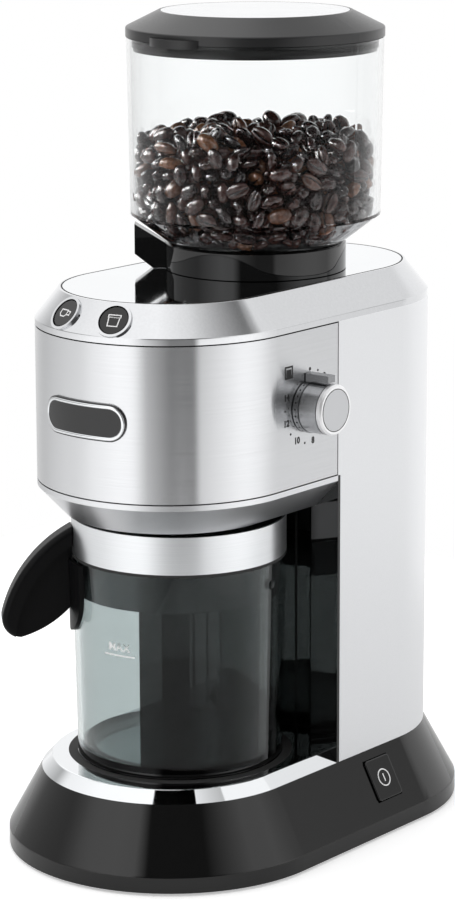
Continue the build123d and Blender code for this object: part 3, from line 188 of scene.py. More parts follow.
# How bright the studio looks round the object: a white back, a soft box on each side, and a dark gap between
# them, where the camera stands. Each row starts with the heights in degrees between which it holds. Then come
# turns in degrees and levels, where straight ahead of the front is 0 and its right is 90.
STUDIO = (
    (
        (-90, -12),
        ((-180, 1.1), (-135, 1.1), (-130, 0.7), (-100, 0.7), (-30, 1.4), (5, 1.4)),
        ((40, 0.3), (60, 0.3), (65, 1.3), (110, 1.4), (140, 1.0), (180, 1.1)),
    ),
    (
        (-6, 20),
        ((-180, 1.1), (-120, 1.1), (-90, 0.5), (-40, 0.5), (-5, 1.4), (10, 1.3)),
        ((20, 0.1), (65, 0.1), (100, 1.2), (120, 1.2), (145, 0.5), (150, 1.1), (180, 1.1)),
    ),
    (
        (30, 40),
        ((-180, 0.9), (-150, 0.9), (-130, 1.5), (-105, 1.0), (-5, 1.4), (10, 1.3)),
        ((20, 0.1), (65, 0.1), (100, 1.2), (120, 1.2), (140, 0.5), (145, 1.0), (180, 0.9)),
    ),
    (
        (50, 90),
        ((-180, 0.8), (-150, 0.9), (-130, 1.8), (-100, 1.2), (20, 1.3)),
        ((70, 1.0), (135, 0.2), (145, 0.9), (180, 0.8)),
    ),
)


class Finish(NamedTuple):
    """How a surface looks, with lengths in millimetres."""

    tint: str  # name of its colour
    spread: float  # how far the colour varies
    rough: tuple  # range of roughness
    period: float  # size of the pattern
    relief: float  # depth of the pattern
    sockets: dict = {}  # other settings of its shader
    stretch: tuple = (1, 1, 1)  # how far the pattern is drawn out along X, Y and Z
    turned: str = ""  # axis that its lines run round
    absorb: float = 0.0  # how fast it darkens with depth, for each metre


METAL = {"Metallic": 1.0}
TURNED = {"Metallic": 1.0, "Anisotropic": 0.9, "Anisotropic Rotation": 0.25}

# One row for each finish: its colour, spread, roughness, pattern, relief and shader settings
FINISHES = {
    # Stainless sheet, brushed along its length: level hair lines that draw reflections out upright.
    # Real lines are 0.05 mm apart, and are drawn coarser here so that they show.
    "brushed_stainless": Finish(
        "brushed_steel", 0.03, (0.18, 0.22), 0.3, 0.0008, TURNED, stretch=(120, 120, 1), turned="Z"
    ),
    # Stainless disc, finely polished: pale and soft, with a trace of the buffing
    "polished_disc": Finish("polished_steel", 0.02, (0.14, 0.20), 0.4, 0.0006, METAL, stretch=(40, 40, 1)),
    # Chromium on polished sheet: a mirror with a faint haze from handling
    "polished_chrome": Finish("chrome", 0.01, (0.03, 0.08), 28, 0.0, METAL),
    # Satin-plated casting: reflections stay readable but soft at their edges
    "satin_cover_plate": Finish("cover_metal", 0.02, (0.05, 0.08), 1.2, 0.0005, METAL),
    # Aluminium, bead blasted and anodised: pale, with reflections spread wide
    "blasted_rim": Finish("blasted_metal", 0.02, (0.42, 0.5), 0.5, 0.001, METAL),
    # Aluminium, finely blasted and anodised grey: an even matt face
    "blasted_face": Finish("face_metal", 0.02, (0.34, 0.40), 0.5, 0.001, METAL),
    # Satin-plated casting, shot blasted first: pale, with reflections that run into each other
    "satin_ring": Finish("polished_steel", 0.02, (0.28, 0.34), 0.6, 0.0008, METAL),
    # Stainless strip, brushed and rolled to a ring: soft, with faint level lines
    "brushed_strip": Finish("chrome", 0.03, (0.28, 0.34), 0.3, 0.0008, METAL, stretch=(120, 120, 1)),
    # Silver paint on a moulding: metal flakes give a soft, slightly grainy sheen
    "silver_paint": Finish(
        "silver_paint", 0.02, (0.30, 0.38), 0.5, 0.001,
        {"Metallic": 0.92, "Coat Weight": 0.15, "Coat Roughness": 0.2},
    ),
    # Turned and brushed aluminium: rings of fine lines round the dial's axis
    "turned_aluminium": Finish(
        "dial_metal", 0.03, (0.2, 0.26), 0.4, 0.001, TURNED, stretch=(1, 30, 30), turned="X"
    ),
    # ABS from a polished mould: deep black with clean reflections and a trace of orange peel
    "gloss_black_abs": Finish("gloss_black", 0.10, (0.03, 0.06), 5, 0.001, {"IOR": 1.53}),
    # ABS from a spark-eroded mould: black with a fine matt grain
    "satin_black_abs": Finish("satin_black", 0.15, (0.20, 0.28), 0.7, 0.003, {"IOR": 1.53}),
    # Soft-touch lacquer on ABS: black that swallows most of the light
    "soft_touch_black": Finish("satin_black", 0.15, (0.34, 0.42), 0.8, 0.003, {"Specular IOR Level": 0.1}),
    # Dark grey satin ABS lid: soft sheen that brightens at a low angle
    "satin_grey_abs": Finish("lid_grey", 0.08, (0.28, 0.34), 0.9, 0.002, {"Specular IOR Level": 0.5}),
    # Dark grey lacquer on a plate: an even, glossy face
    "badge_lacquer": Finish("badge_grey", 0.06, (0.16, 0.24), 2, 0.001, {"IOR": 1.5}),
    # Moulded rubber: dull black with a little dust in its grain
    "black_rubber": Finish("rubber", 0.25, (0.62, 0.78), 1.1, 0.02, {"IOR": 1.52, "Specular IOR Level": 0.2}),
    # Clear SAN, injection moulded: glass-like, with slow waves in its wall and little glare, as through
    # a polariser
    "clear_san": Finish(
        "clear", 0.0, (0.0, 0.012), 30, 0.01,
        {"IOR": 1.49, "Specular Tint": (0.1, 0.1, 0.1, 1), "Transmission Weight": 1.0},
        absorb=50.0,
    ),
    # Smoked SAN, injection moulded: a grey-green tint that deepens with each wall
    "smoked_san": Finish(
        "smoke", 0.0, (0.0, 0.015), 26, 0.008,
        {"IOR": 1.49, "Specular Tint": (0.3, 0.3, 0.3, 1), "Transmission Weight": 1.0},
    ),
    # Dark smoked SAN, satin inside: lets through little light
    "dark_smoked_san": Finish(
        "dark_smoke", 0.0, (0.08, 0.14), 20, 0.005, {"IOR": 1.49, "Transmission Weight": 0.75}
    ),
    # Pad-printed white ink: matt and slightly uneven
    "white_print": Finish("white_ink", 0.04, (0.45, 0.6), 0.6, 0.002),
    # Pad-printed black ink: matt and slightly uneven
    "black_print": Finish("black_ink", 0.2, (0.45, 0.6), 0.6, 0.002),
    # Natural nylon gear: waxy off-white with a faint cloudiness
    "moulded_nylon": Finish(
        "nylon", 0.06, (0.32, 0.45), 4, 0.004,
        {"IOR": 1.53, "Subsurface Weight": 0.1, "Subsurface Radius": (0.001, 0.001, 0.001)},
    ),
    # Sintered bronze: warm metal with open pores
    "sintered_bronze": Finish("bronze", 0.2, (0.32, 0.5), 0.6, 0.012, METAL),
    # Hardened steel, ground: bright with short cutter marks
    "ground_steel": Finish("tool_steel", 0.12, (0.18, 0.34), 0.5, 0.004, METAL, stretch=(8, 8, 1)),
    # Zinc-plated steel: pale metal with a faint cloud
    "zinc_plate": Finish("zinc", 0.10, (0.24, 0.40), 3, 0.002, METAL),
    # Pressed ferrite: dull black-grey ceramic
    "pressed_ferrite": Finish("ferrite", 0.2, (0.6, 0.75), 1, 0.01, {"IOR": 2.2}),
    # Lacquered copper and iron sheets: warm brown metal in thin level layers
    "wound_iron": Finish("copper_iron", 0.35, (0.3, 0.5), 0.8, 0.02, {"Metallic": 0.85}, stretch=(20, 20, 1)),
    # Glass-epoxy board with green solder mask: glossy over a faint weave
    "solder_mask": Finish("board_green", 0.15, (0.2, 0.3), 0.7, 0.004, {"IOR": 1.5}),
    # Glass-filled nylon: mid grey with short flow streaks
    "filled_nylon": Finish("grey_plastic", 0.12, (0.4, 0.55), 1.2, 0.01, {"IOR": 1.53}, stretch=(4, 4, 1)),
}

# The lever ring is turned like the knob, and anodised a darker grey
FINISHES["turned_ring"] = FINISHES["turned_aluminium"]._replace(tint="ring_metal")

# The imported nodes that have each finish
METAL_PARTS = {
    "brushed_stainless": "head_front_panel",
    "brushed_strip": "container_lid_ring",
    "polished_disc": "lid_disc",
    "polished_chrome": "base_deck top_deck",
    "satin_ring": "head_lower_ring",
    "satin_cover_plate": "button_bezels top_cover",
    "silver_paint": "column_shell",
    "turned_ring": "quantity_ring",
    "turned_aluminium": "strength_knob",
    "blasted_rim": "knob_cap",
}
PLASTIC_PARTS = {
    "gloss_black_abs": "base_shell bay_wall grind_ring container_foot "
    "left_button right_button power_button hopper_neck",
    "satin_black_abs": "bottom_cover head_underplate power_switch coffee_chute",
    "soft_touch_black": "container_handle",
    "satin_grey_abs": "hopper_lid",
    "clear_san": "hopper_bowl",
    "smoked_san": "container_cup",
    "dark_smoked_san": "container_lid",
    "black_rubber": "rubber_feet cord_gland lid_seal container_seal",
}
DRIVE_PARTS = {
    "filled_nylon": "chassis gear_cover burr_housing",
    "satin_black_abs": "dial_switch sweeper burr_carrier motor_end_cap",
    "moulded_nylon": "final_gear idler_gear",
    "sintered_bronze": "shaft_bushes motor_pinion",
    "ground_steel": "cone_burr ring_burr burr_shaft idler_pin motor_shaft",
    "zinc_plate": "base_screws burr_nut motor_screws motor_can",
    "pressed_ferrite": "motor_magnets",
    "wound_iron": "motor_armature",
    "solder_mask": "control_board",
}


def new_material(name, empty=False):
    """Material with nodes, or with none yet where it starts empty, and its node tree."""
    material = bpy.data.materials.new(name)
    material.use_nodes = True
    if empty:
        material.node_tree.nodes.clear()
    return material, material.node_tree


def finish(name):
    """The named material, made from its row of FINISHES the first time."""
    if name in bpy.data.materials:
        return bpy.data.materials[name]
    row = FINISHES[name]
    tint = Vector(getattr(bpy.context.scene.grinder_colours, row.tint))
    material, tree = new_material(name)
    feeds = {**row.sockets, "Base Color": tint}
    place = add_node(tree, "ShaderNodeTexCoord").outputs["Object"]
    scale = [1 / (row.period * MM * draw) for draw in row.stretch]
    drawn = add_node(tree, "ShaderNodeMapping", {"Vector": place, "Scale": scale}).outputs["Vector"]
    noise = add_node(
        tree, "ShaderNodeTexNoise", {"Vector": drawn, "Scale": 1.0, "Detail": 3.0}
    ).outputs["Fac"]
    noise_low, noise_high = 0.3, 0.7
    if row.spread:
        ramp = add_node(tree, "ShaderNodeValToRGB", {"Fac": noise})
        ends = ((noise_low, -row.spread), (noise_high, row.spread))
        for stop, (position, change) in zip(ramp.color_ramp.elements, ends):
            stop.position = position
            stop.color = [*(part * (1 + change) for part in tint[:3]), 1]
        feeds["Base Color"] = ramp.outputs["Color"]
    low, high = row.rough
    feeds["Roughness"] = add_node(
        tree,
        "ShaderNodeMapRange",
        {"Value": noise, "From Min": noise_low, "From Max": noise_high, "To Min": low, "To Max": high},
    ).outputs["Result"]
    if row.relief:
        feeds["Normal"] = add_node(
            tree, "ShaderNodeBump", {"Height": noise, "Strength": 0.6, "Distance": row.relief * MM}
        ).outputs["Normal"]
    if row.turned:
        feeds["Tangent"] = add_node(
            tree, "ShaderNodeTangent", direction_type="RADIAL", axis=row.turned
        ).outputs["Tangent"]
    fill(tree, tree.nodes["Principled BSDF"], feeds)
    if row.absorb:
        deep_grey = (0.5, 0.51, 0.52, 1)
        depth = add_node(tree, "ShaderNodeVolumeAbsorption", {"Color": deep_grey, "Density": row.absorb})
        fill(tree, tree.nodes["Material Output"], {"Volume": depth.outputs["Volume"]})
    return material


def dress(parts):
    """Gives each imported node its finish."""
    for name, nodes in parts.items():
        for node in nodes.split():
            NODES[node].data.materials.clear()
            NODES[node].data.materials.append(finish(name))


def link_object(name, data):
    """New object in the scene."""
    linked = bpy.data.objects.new(name, data)
    bpy.context.scene.collection.objects.link(linked)
    return linked


def flat_mesh(name, points, faces):
    """Mesh with its faces as they are given."""
    mesh = bpy.data.meshes.new(name)
    mesh.from_pydata([tuple(point) for point in points], [], faces)
    return mesh


def add_piece(name, mesh, body, material):
    """Links a finished mesh as a piece that moves with a body."""
    piece = link_object(name, mesh)
    mesh.materials.clear()
    mesh.materials.append(material)
    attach(piece, body)
    return piece


def mesh_of(name, points, faces, smooth=False):
    """Mesh with its faces turned outwards."""
    mesh = flat_mesh(name, points, faces)
    shape = bmesh.new()
    shape.from_mesh(mesh)
    bmesh.ops.recalc_face_normals(shape, faces=shape.faces)
    shape.to_mesh(mesh)
    shape.free()
    if smooth:
        mesh.shade_smooth()
    return mesh


def loft_faces(ring_count, around):
    """Quads between rings of points, each ring closed on itself."""
    faces = []
    for ring in range(ring_count - 1):
        for step in range(around):
            here, after = ring * around + step, ring * around + (step + 1) % around
            faces.append((here, after, after + around, here + around))
    return faces


def capped_faces(ring_count, around):
    """Quads between rings of points, with the first and last rings filled."""
    last = (ring_count - 1) * around
    return loft_faces(ring_count, around) + [tuple(range(around)), tuple(range(last, last + around))]


def plain_mesh(source):
    """The source object's evaluated mesh, with the source removed."""
    bpy.context.view_layer.update()
    mesh = bpy.data.meshes.new_from_object(source.evaluated_get(bpy.context.evaluated_depsgraph_get()))
    bpy.data.objects.remove(source)
    return mesh


def outer_face(node, toward):
    """Middle and direction of the flat face of a node that is turned most to a direction."""
    mesh = NODES[node].data
    flat_within = 0.02 * MM

    def showing(face):
        """Area of a face, counted less the more it is turned away."""
        return face.area * max(0.0, face.normal.dot(toward)) ** 4

    out = max(mesh.polygons, key=showing).normal.copy()
    reach = max(vertex.co.dot(out) for vertex in mesh.vertices)
    outer = [vertex.co for vertex in mesh.vertices if vertex.co.dot(out) > reach - flat_within]
    low = Vector([min(point[axis] for point in outer) for axis in range(3)])
    high = Vector([max(point[axis] for point in outer) for axis in range(3)])
    return (low + high) / 2, out


def ribbon(points, width, closed=False):
    """Flat stroke of even width along points in a plane, as points and faces."""
    count = len(points)
    sharpest = 0.3
    edges = []
    for index, point in enumerate(points):
        before = points[index - 1] if index or closed else None
        after = points[(index + 1) % count] if index + 1 < count or closed else None
        legs = [(a, b) for a, b in ((before, point), (point, after)) if a is not None and b is not None]
        sides = [(b - a).normalized().orthogonal() for a, b in legs]
        side = sum(sides, Vector((0, 0))).normalized()
        reach = width / 2 / max(sharpest, side.dot(sides[0]))
        edges += [point + side * reach, point - side * reach]
    faces = []
    for index in range(count if closed else count - 1):
        here, after = 2 * index, 2 * ((index + 1) % count)
        faces.append((here, here + 1, after + 1, after))
    return edges, faces


def polar(radius, angle):
    """Point in a plane at an angle in degrees."""
    return radius * Vector((cos(radians(angle)), sin(radians(angle))))


def arc_points(radius, start, end, count, centre=(0, 0)):
    """Points on an arc in a plane, with angles in degrees."""
    turns = [start + (end - start) * step / (count - 1) for step in range(count)]
    return [Vector(centre) + polar(radius, turn) for turn in turns]


def circle_points(radius, count, centre=(0, 0)):
    """Points round a whole circle in a plane."""
    return arc_points(radius, 0, 360 * (count - 1) / count, count, centre)


def disc_shape(radius, centre=(0, 0), count=20):
    """Filled circle in a plane, as points and faces."""
    return circle_points(radius, count, centre), [tuple(range(count))]


def text_shape(words, height, centre=(0, 0), weight=0.0):
    """Letters in a plane, as points and faces, with strokes made wider by weight."""
    size_over_height = 1.4
    curve = bpy.data.curves.new("letters", "FONT")
    curve.body = words
    curve.size = height * size_over_height
    curve.resolution_u = 3
    curve.offset = weight
    curve.align_x = curve.align_y = "CENTER"
    mesh = plain_mesh(link_object("letters", curve))
    bpy.data.curves.remove(curve)
    points = [Vector(centre) + vertex.co.xy for vertex in mesh.vertices]
    faces = [tuple(polygon.vertices) for polygon in mesh.polygons]
    bpy.data.meshes.remove(mesh)
    return points, faces


def on_plane(origin, across, upward):
    """Place of a point that is printed on a plane."""
    return lambda u, v: origin + across * u + upward * v


def on_round(axis, radius, level, turn=0.0):
    """Place of a point that is printed on an upright round wall, turned from straight ahead."""

    def place(u, v):
        angle = turn + u / radius
        return Vector((axis.x + radius * sin(angle), axis.y - radius * cos(angle), level + v))

    return place


def add_print(name, shapes, place, body, ink):
    """Thin printed mark of several flat shapes."""
    points, faces = [], []
    for shape_points, shape_faces in shapes:
        start = len(points)
        points += [place(point.x, point.y) for point in shape_points]
        faces += [tuple(start + corner for corner in face) for face in shape_faces]
    piece = add_piece(name, flat_mesh(name, points, faces), body, finish(ink))
    thickness = piece.modifiers.new("ink", "SOLIDIFY")
    thickness.thickness = bpy.context.scene.grinder_sizes.ink
    thickness.offset = 1.0
    return piece


def scatter_tree():
    """Geometry nodes that set copies of one shape on points, each with its own turn, size and tone."""
    tree = bpy.data.node_groups.new("scatter_copies", "GeometryNodeTree")
    for name, kind in (
        ("Points", "Geometry"),
        ("Shape", "Object"),
        ("Size spread", "Float"),
        ("Seed", "Int"),
        ("Finish", "Material"),
    ):
        tree.interface.new_socket(name, in_out="INPUT", socket_type="NodeSocket" + kind)
    tree.interface.new_socket("Copies", in_out="OUTPUT", socket_type="NodeSocketGeometry")
    given = add_node(tree, "NodeGroupInput").outputs
    points = add_node(tree, "GeometryNodeMeshToPoints", {"Mesh": given["Points"]}).outputs["Points"]
    tone = add_node(tree, "FunctionNodeRandomValue", {"Seed": given["Seed"]}, data_type="FLOAT")
    toned = add_node(
        tree,
        "GeometryNodeStoreNamedAttribute",
        {"Geometry": points, "Name": "tone", "Value": tone.outputs[1]},
        data_type="FLOAT",
        domain="POINT",
    ).outputs["Geometry"]
    smallest = add_node(tree, "ShaderNodeMath", {0: 1.0, 1: given["Size spread"]}, operation="SUBTRACT")
    largest = add_node(tree, "ShaderNodeMath", {0: 1.0, 1: given["Size spread"]}, operation="ADD")
    size = add_node(
        tree,
        "FunctionNodeRandomValue",
        {2: smallest.outputs[0], 3: largest.outputs[0], "Seed": given["Seed"]},
        data_type="FLOAT",
    )
    turn = add_node(tree, "GeometryNodeInputNamedAttribute", {"Name": "turn"}, data_type="FLOAT_VECTOR")
    turned = add_node(tree, "FunctionNodeEulerToRotation", {0: turn.outputs[0]})
    shape = add_node(tree, "GeometryNodeObjectInfo", {"Object": given["Shape"]})
    copies = add_node(
        tree,
        "GeometryNodeInstanceOnPoints",
        {
            "Points": toned,
            "Instance": shape.outputs["Geometry"],
            "Rotation": turned.outputs[0],
            "Scale": size.outputs[1],
        },
    )
    real = add_node(tree, "GeometryNodeRealizeInstances", {"Geometry": copies.outputs["Instances"]})
    painted = add_node(
        tree,
        "GeometryNodeSetMaterial",
        {"Geometry": real.outputs["Geometry"], "Material": given["Finish"]},
    )
    add_node(tree, "NodeGroupOutput", {"Copies": painted.outputs["Geometry"]})
    return tree


def scattered(name, shape_mesh, places, turns, material, size_spread=0.0, seed=0):
    """Mesh of copies of one shape at places, with Euler turns."""
    tree = bpy.data.node_groups.get("scatter_copies") or scatter_tree()
    shape = bpy.data.objects.new(name + "_shape", shape_mesh)
    points = flat_mesh(name, places, [])
    turn = points.attributes.new("turn", "FLOAT_VECTOR", "POINT")
    turn.data.foreach_set("vector", [part for euler in turns for part in euler])
    source = link_object(name, points)
    nodes = source.modifiers.new("copies", "NODES")
    nodes.node_group = tree
    values = {"Shape": shape, "Size spread": size_spread, "Seed": seed, "Finish": material}
    for item in tree.interface.items_tree:
        if item.in_out == "INPUT" and item.name in values:
            nodes[item.identifier] = values[item.name]
    mesh = plain_mesh(source)
    bpy.data.objects.remove(shape)
    return mesh


def bean_shape(bean_length, bean_width):
    """One roasted bean: a dome over a flatter side with a crease along it, lying along X."""
    crease_turn = 180
    around = (0, 52, 100, 146, 170, crease_turn)
    around += tuple(360 - turn for turn in reversed(around[1:-1]))
    stations = (-0.98, -0.82, -0.45, 0.0, 0.45, 0.82, 0.98)
    bluntness = 0.42
    dome, flat, groove = 0.46 * bean_width, 0.24 * bean_width, 0.17 * bean_width
    points, crease = [], []
    for along in stations:
        swell = (1 - along * along) ** bluntness
        for turn in around:
            rise = cos(radians(turn))
            height = dome * rise if rise > 0 else flat * rise
            if turn == crease_turn:
                height += groove
            points.append(
                (along * bean_length / 2, sin(radians(turn)) * swell * bean_width / 2, height * swell)
            )
            crease.append(float(turn == crease_turn))
    faces = capped_faces(len(stations), len(around))
    mesh = mesh_of("bean", points, faces, smooth=True)
    # Marks the crease, where the bean material paints shade
    mark = mesh.attributes.new("crease", "FLOAT", "POINT")
    mark.data.foreach_set("value", crease)
    return mesh


def settled_beans(count, bean_length, bean_width, seed):
    """Middles and directions of beans that have settled in the hopper, each bean as two joined balls."""
    draw = np.random.default_rng(seed)
    ball_share = 0.45
    ball = bean_width * ball_share
    half = bean_length / 2 - ball
    wall, slack, cone_height, narrow = 2.3 * MM, 1.0 * MM, 12.4 * MM, 40 * MM
    corner_z = bowl_low.z + cone_height
    floor_z = bowl_low.z + wall
    wide = bowl_high.x - wall - slack
    drop_start, drop_height, spread_share = 4 * MM, 66 * MM, 0.92
    steps, passes, steps_between_looks = 200, 2, 4
    fall, look_ahead, push_share, least = 0.12 * MM, 1.2 * MM, 0.38, 1e-6
    fewest_near = 5

    def room(z):
        """Inner radius of the bowl at a height."""
        return np.clip(narrow + (wide - narrow) * (z - floor_z) / (corner_z - floor_z), narrow, wide)

    def lying(balls):
        """Middle and direction of each bean."""
        along = balls[1::2] - balls[0::2]
        apart = np.maximum(np.linalg.norm(along, axis=1), least)
        return (balls[0::2] + balls[1::2]) / 2, along / apart[:, None]

    radius = wide * spread_share * np.sqrt(draw.random(count))
    angle = 2 * pi * draw.random(count)
    middle = np.stack([radius * np.cos(angle), radius * np.sin(angle), np.zeros(count)], 1)
    middle[:, 2] = floor_z + drop_start + draw.random(count) * drop_height
    heading = draw.normal(size=(count, 3))
    heading /= np.linalg.norm(heading, axis=1)[:, None]
    balls = np.stack([middle - heading * half, middle + heading * half], 1).reshape(-1, 3)
    bean_of = np.arange(2 * count) // 2
    for step in range(steps):
        balls[:, 2] -= fall
        if step % steps_between_looks == 0:
            tree = KDTree(2 * count)
            for index, point in enumerate(balls):
                tree.insert(point, index)
            tree.balance()
            near = [
                (index, other)
                for index, point in enumerate(balls)
                for _, other, _ in tree.find_range(point, 2 * ball + look_ahead)
                if other > index and bean_of[other] != bean_of[index]
            ]
            pairs = np.array(near)
        for _ in range(passes):
            first, second = pairs[:, 0], pairs[:, 1]
            apart = balls[second] - balls[first]
            distance = np.maximum(np.linalg.norm(apart, axis=1), least)
            push = np.clip(2 * ball - distance, 0, None) * push_share
            move = apart / distance[:, None] * push[:, None]
            np.add.at(balls, second, move)
            np.add.at(balls, first, -move)
            middle, heading = lying(balls)
            balls[0::2], balls[1::2] = middle - heading * half, middle + heading * half
            reach = np.maximum(np.hypot(balls[:, 0], balls[:, 1]), least)
            shrink = np.minimum(1.0, (room(balls[:, 2]) - ball) / reach)
            balls[:, :2] *= shrink[:, None]
            balls[:, 2] = np.maximum(balls[:, 2], floor_z + ball)
    middle, heading = lying(balls)
    # A bean with few others near it would stand alone on the heap, so it is left out
    held = np.bincount(bean_of[pairs.ravel()], minlength=count) > fewest_near
    return middle[held] + np.array(BURR_AXIS), heading[held]


def roasted_bean():
    """Roasted coffee: dark brown under a film of oil, each bean roasted a little differently, with painted
    shade in its crease.
    """
    colours = bpy.context.scene.grinder_colours
    material, tree = new_material("roasted_bean")
    middle_share, skin_period, skin_relief = 0.88, 1.6 * MM, 0.06 * MM
    tone = add_node(tree, "ShaderNodeAttribute", attribute_name="tone").outputs["Fac"]
    crease = add_node(tree, "ShaderNodeAttribute", attribute_name="crease").outputs["Fac"]
    roast = add_node(tree, "ShaderNodeValToRGB", {"Fac": tone})
    stops = roast.color_ramp.elements
    stops.new(middle_share)
    for stop, shade in zip(stops, (colours.roast_dark, colours.roast_middle, colours.roast_light)):
        stop.color = shade
    place = add_node(tree, "ShaderNodeTexCoord").outputs["Object"]
    skin = add_node(
        tree, "ShaderNodeTexNoise", {"Vector": place, "Scale": 1 / skin_period, "Detail": 4.0}
    ).outputs["Fac"]
    patchy = add_node(
        tree,
        "ShaderNodeMapRange",
        {"Value": skin, "From Min": 0.35, "From Max": 0.7, "To Min": 0.65, "To Max": 1.5},
    ).outputs["Result"]
    skin_colour = add_node(
        tree, "ShaderNodeVectorMath", {0: roast.outputs["Color"], 1: patchy}, operation="MULTIPLY"
    ).outputs["Vector"]
    # The crease is painted near-black over the roast: painted shade in the groove
    crease_shaded = add_node(
        tree, "ShaderNodeMix", {0: crease, 6: skin_colour, 7: colours.bean_crease}, data_type="RGBA"
    ).outputs[2]
    oil = add_node(
        tree,
        "ShaderNodeMapRange",
        {"Value": skin, "From Min": 0.3, "From Max": 0.7, "To Min": 0.16, "To Max": 0.3},
    ).outputs["Result"]
    bump = add_node(
        tree, "ShaderNodeBump", {"Height": skin, "Strength": 0.5, "Distance": skin_relief}
    ).outputs["Normal"]
    feeds = {"Base Color": crease_shaded, "Roughness": oil, "Normal": bump}
    feeds |= {"IOR": 1.45, "Coat Weight": 0.8, "Coat Roughness": 0.15}
    fill(tree, tree.nodes["Principled BSDF"], feeds)
    return material


class GRINDER_OT_metal_parts(Operator):
    """Finish the sheet, plated and turned metal parts"""

    bl_idname = "grinder.metal_parts"
    bl_label = "Metal parts"

    def execute(self, context):
        dress(METAL_PARTS)
        return {"FINISHED"}


class GRINDER_OT_plastic_parts(Operator):
    """Finish the moulded plastic, clear and rubber parts"""

    bl_idname = "grinder.plastic_parts"
    bl_label = "Plastic parts"

    def execute(self, context):
        dress(PLASTIC_PARTS)
        return {"FINISHED"}


class GRINDER_OT_drive_parts(Operator):
    """Finish the motor, gears, burrs and other inner parts"""

    bl_idname = "grinder.drive_parts"
    bl_label = "Drive parts"

    def execute(self, context):
        dress(DRIVE_PARTS)
        return {"FINISHED"}


class GRINDER_OT_beans(Operator):
    """Fill the hopper with settled coffee beans"""

    bl_idname = "grinder.beans"
    bl_label = "Coffee beans"

    def execute(self, context):
        sizes = context.scene.grinder_sizes
        middles, headings = settled_beans(
            sizes.bean_count, sizes.bean_length, sizes.bean_width, sizes.bean_seed
        )
        draw = np.random.default_rng(sizes.bean_seed + 1)
        turns = []
        for heading in headings:
            roll = draw.random() * 2 * pi
            lie = Vector(heading).to_track_quat("X", "Z").to_matrix() @ Matrix.Rotation(roll, 3, "X")
            turns.append(lie.to_euler())
        shape = bean_shape(sizes.bean_length, sizes.bean_width)
        roast = roasted_bean()
        mesh = scattered("coffee_beans", shape, middles, turns, roast, size_spread=0.1, seed=sizes.bean_seed)
        add_piece("coffee_beans", mesh, "hopper", roast)
        return {"FINISHED"}


class GRINDER_OT_badge(Operator):
    """Fit a bare badge with a bright rim to the front panel"""

    bl_idname = "grinder.badge"
    bl_label = "Bare badge"

    def execute(self, context):
        sizes = context.scene.grinder_sizes
        place = on_round(PANEL_CENTRE, PANEL_RADIUS, sizes.badge_middle)

        def ring(inset, proud):
            """Rounded oblong on the panel, inset from the badge's edge and standing proud."""
            wide, tall = sizes.badge_width / 2 - inset, sizes.badge_height / 2 - inset
            corner = sizes.badge_corner - inset
            span, straight = wide - corner, 8
            quarter = arc_points(corner, 0, 90, 10, (span, tall - corner))
            quarter += [Vector((span * step / straight, tall)) for step in range(straight - 1, 0, -1)]
            half = quarter + [Vector((0, tall))] + [Vector((-p.x, p.y)) for p in reversed(quarter)]
            points = []
            for flat in half + [Vector((p.x, -p.y)) for p in reversed(half)]:
                point = place(flat.x, flat.y)
                points.append(point + (point - PANEL_CENTRE).to_2d().normalized().to_3d() * proud)
            return points

        plate_profile = ((0.0, -0.2), (0.0, 0.9), (0.25, 1.1))
        plate = [ring(inset * MM, proud * MM) for inset, proud in plate_profile]
        count = len(plate[0])
        faces = loft_faces(len(plate), count)
        for start in (0, (len(plate) - 1) * count):
            faces += [
                (start + step, start + step + 1, start + count - 2 - step, start + count - 1 - step)
                for step in range(count // 2 - 1)
            ]
        mesh = mesh_of("badge_plate", [point for level in plate for point in level], faces)
        add_piece("badge_plate", mesh, "body", finish("badge_lacquer"))
        rim_profile = ((0.55, 1.05), (0.65, 1.3), (1.0, 1.45), (1.7, 1.45), (2.05, 1.3), (2.15, 1.05))
        rim = [ring(inset * MM, proud * MM) for inset, proud in rim_profile]
        faces = loft_faces(len(rim), count)
        last = (len(rim) - 1) * count
        faces += [(step, (step + 1) % count, last + (step + 1) % count, last + step) for step in range(count)]
        mesh = mesh_of("badge_rim", [point for level in rim for point in level], faces, smooth=True)
        add_piece("badge_rim", mesh, "body", finish("polished_chrome"))
        return {"FINISHED"}


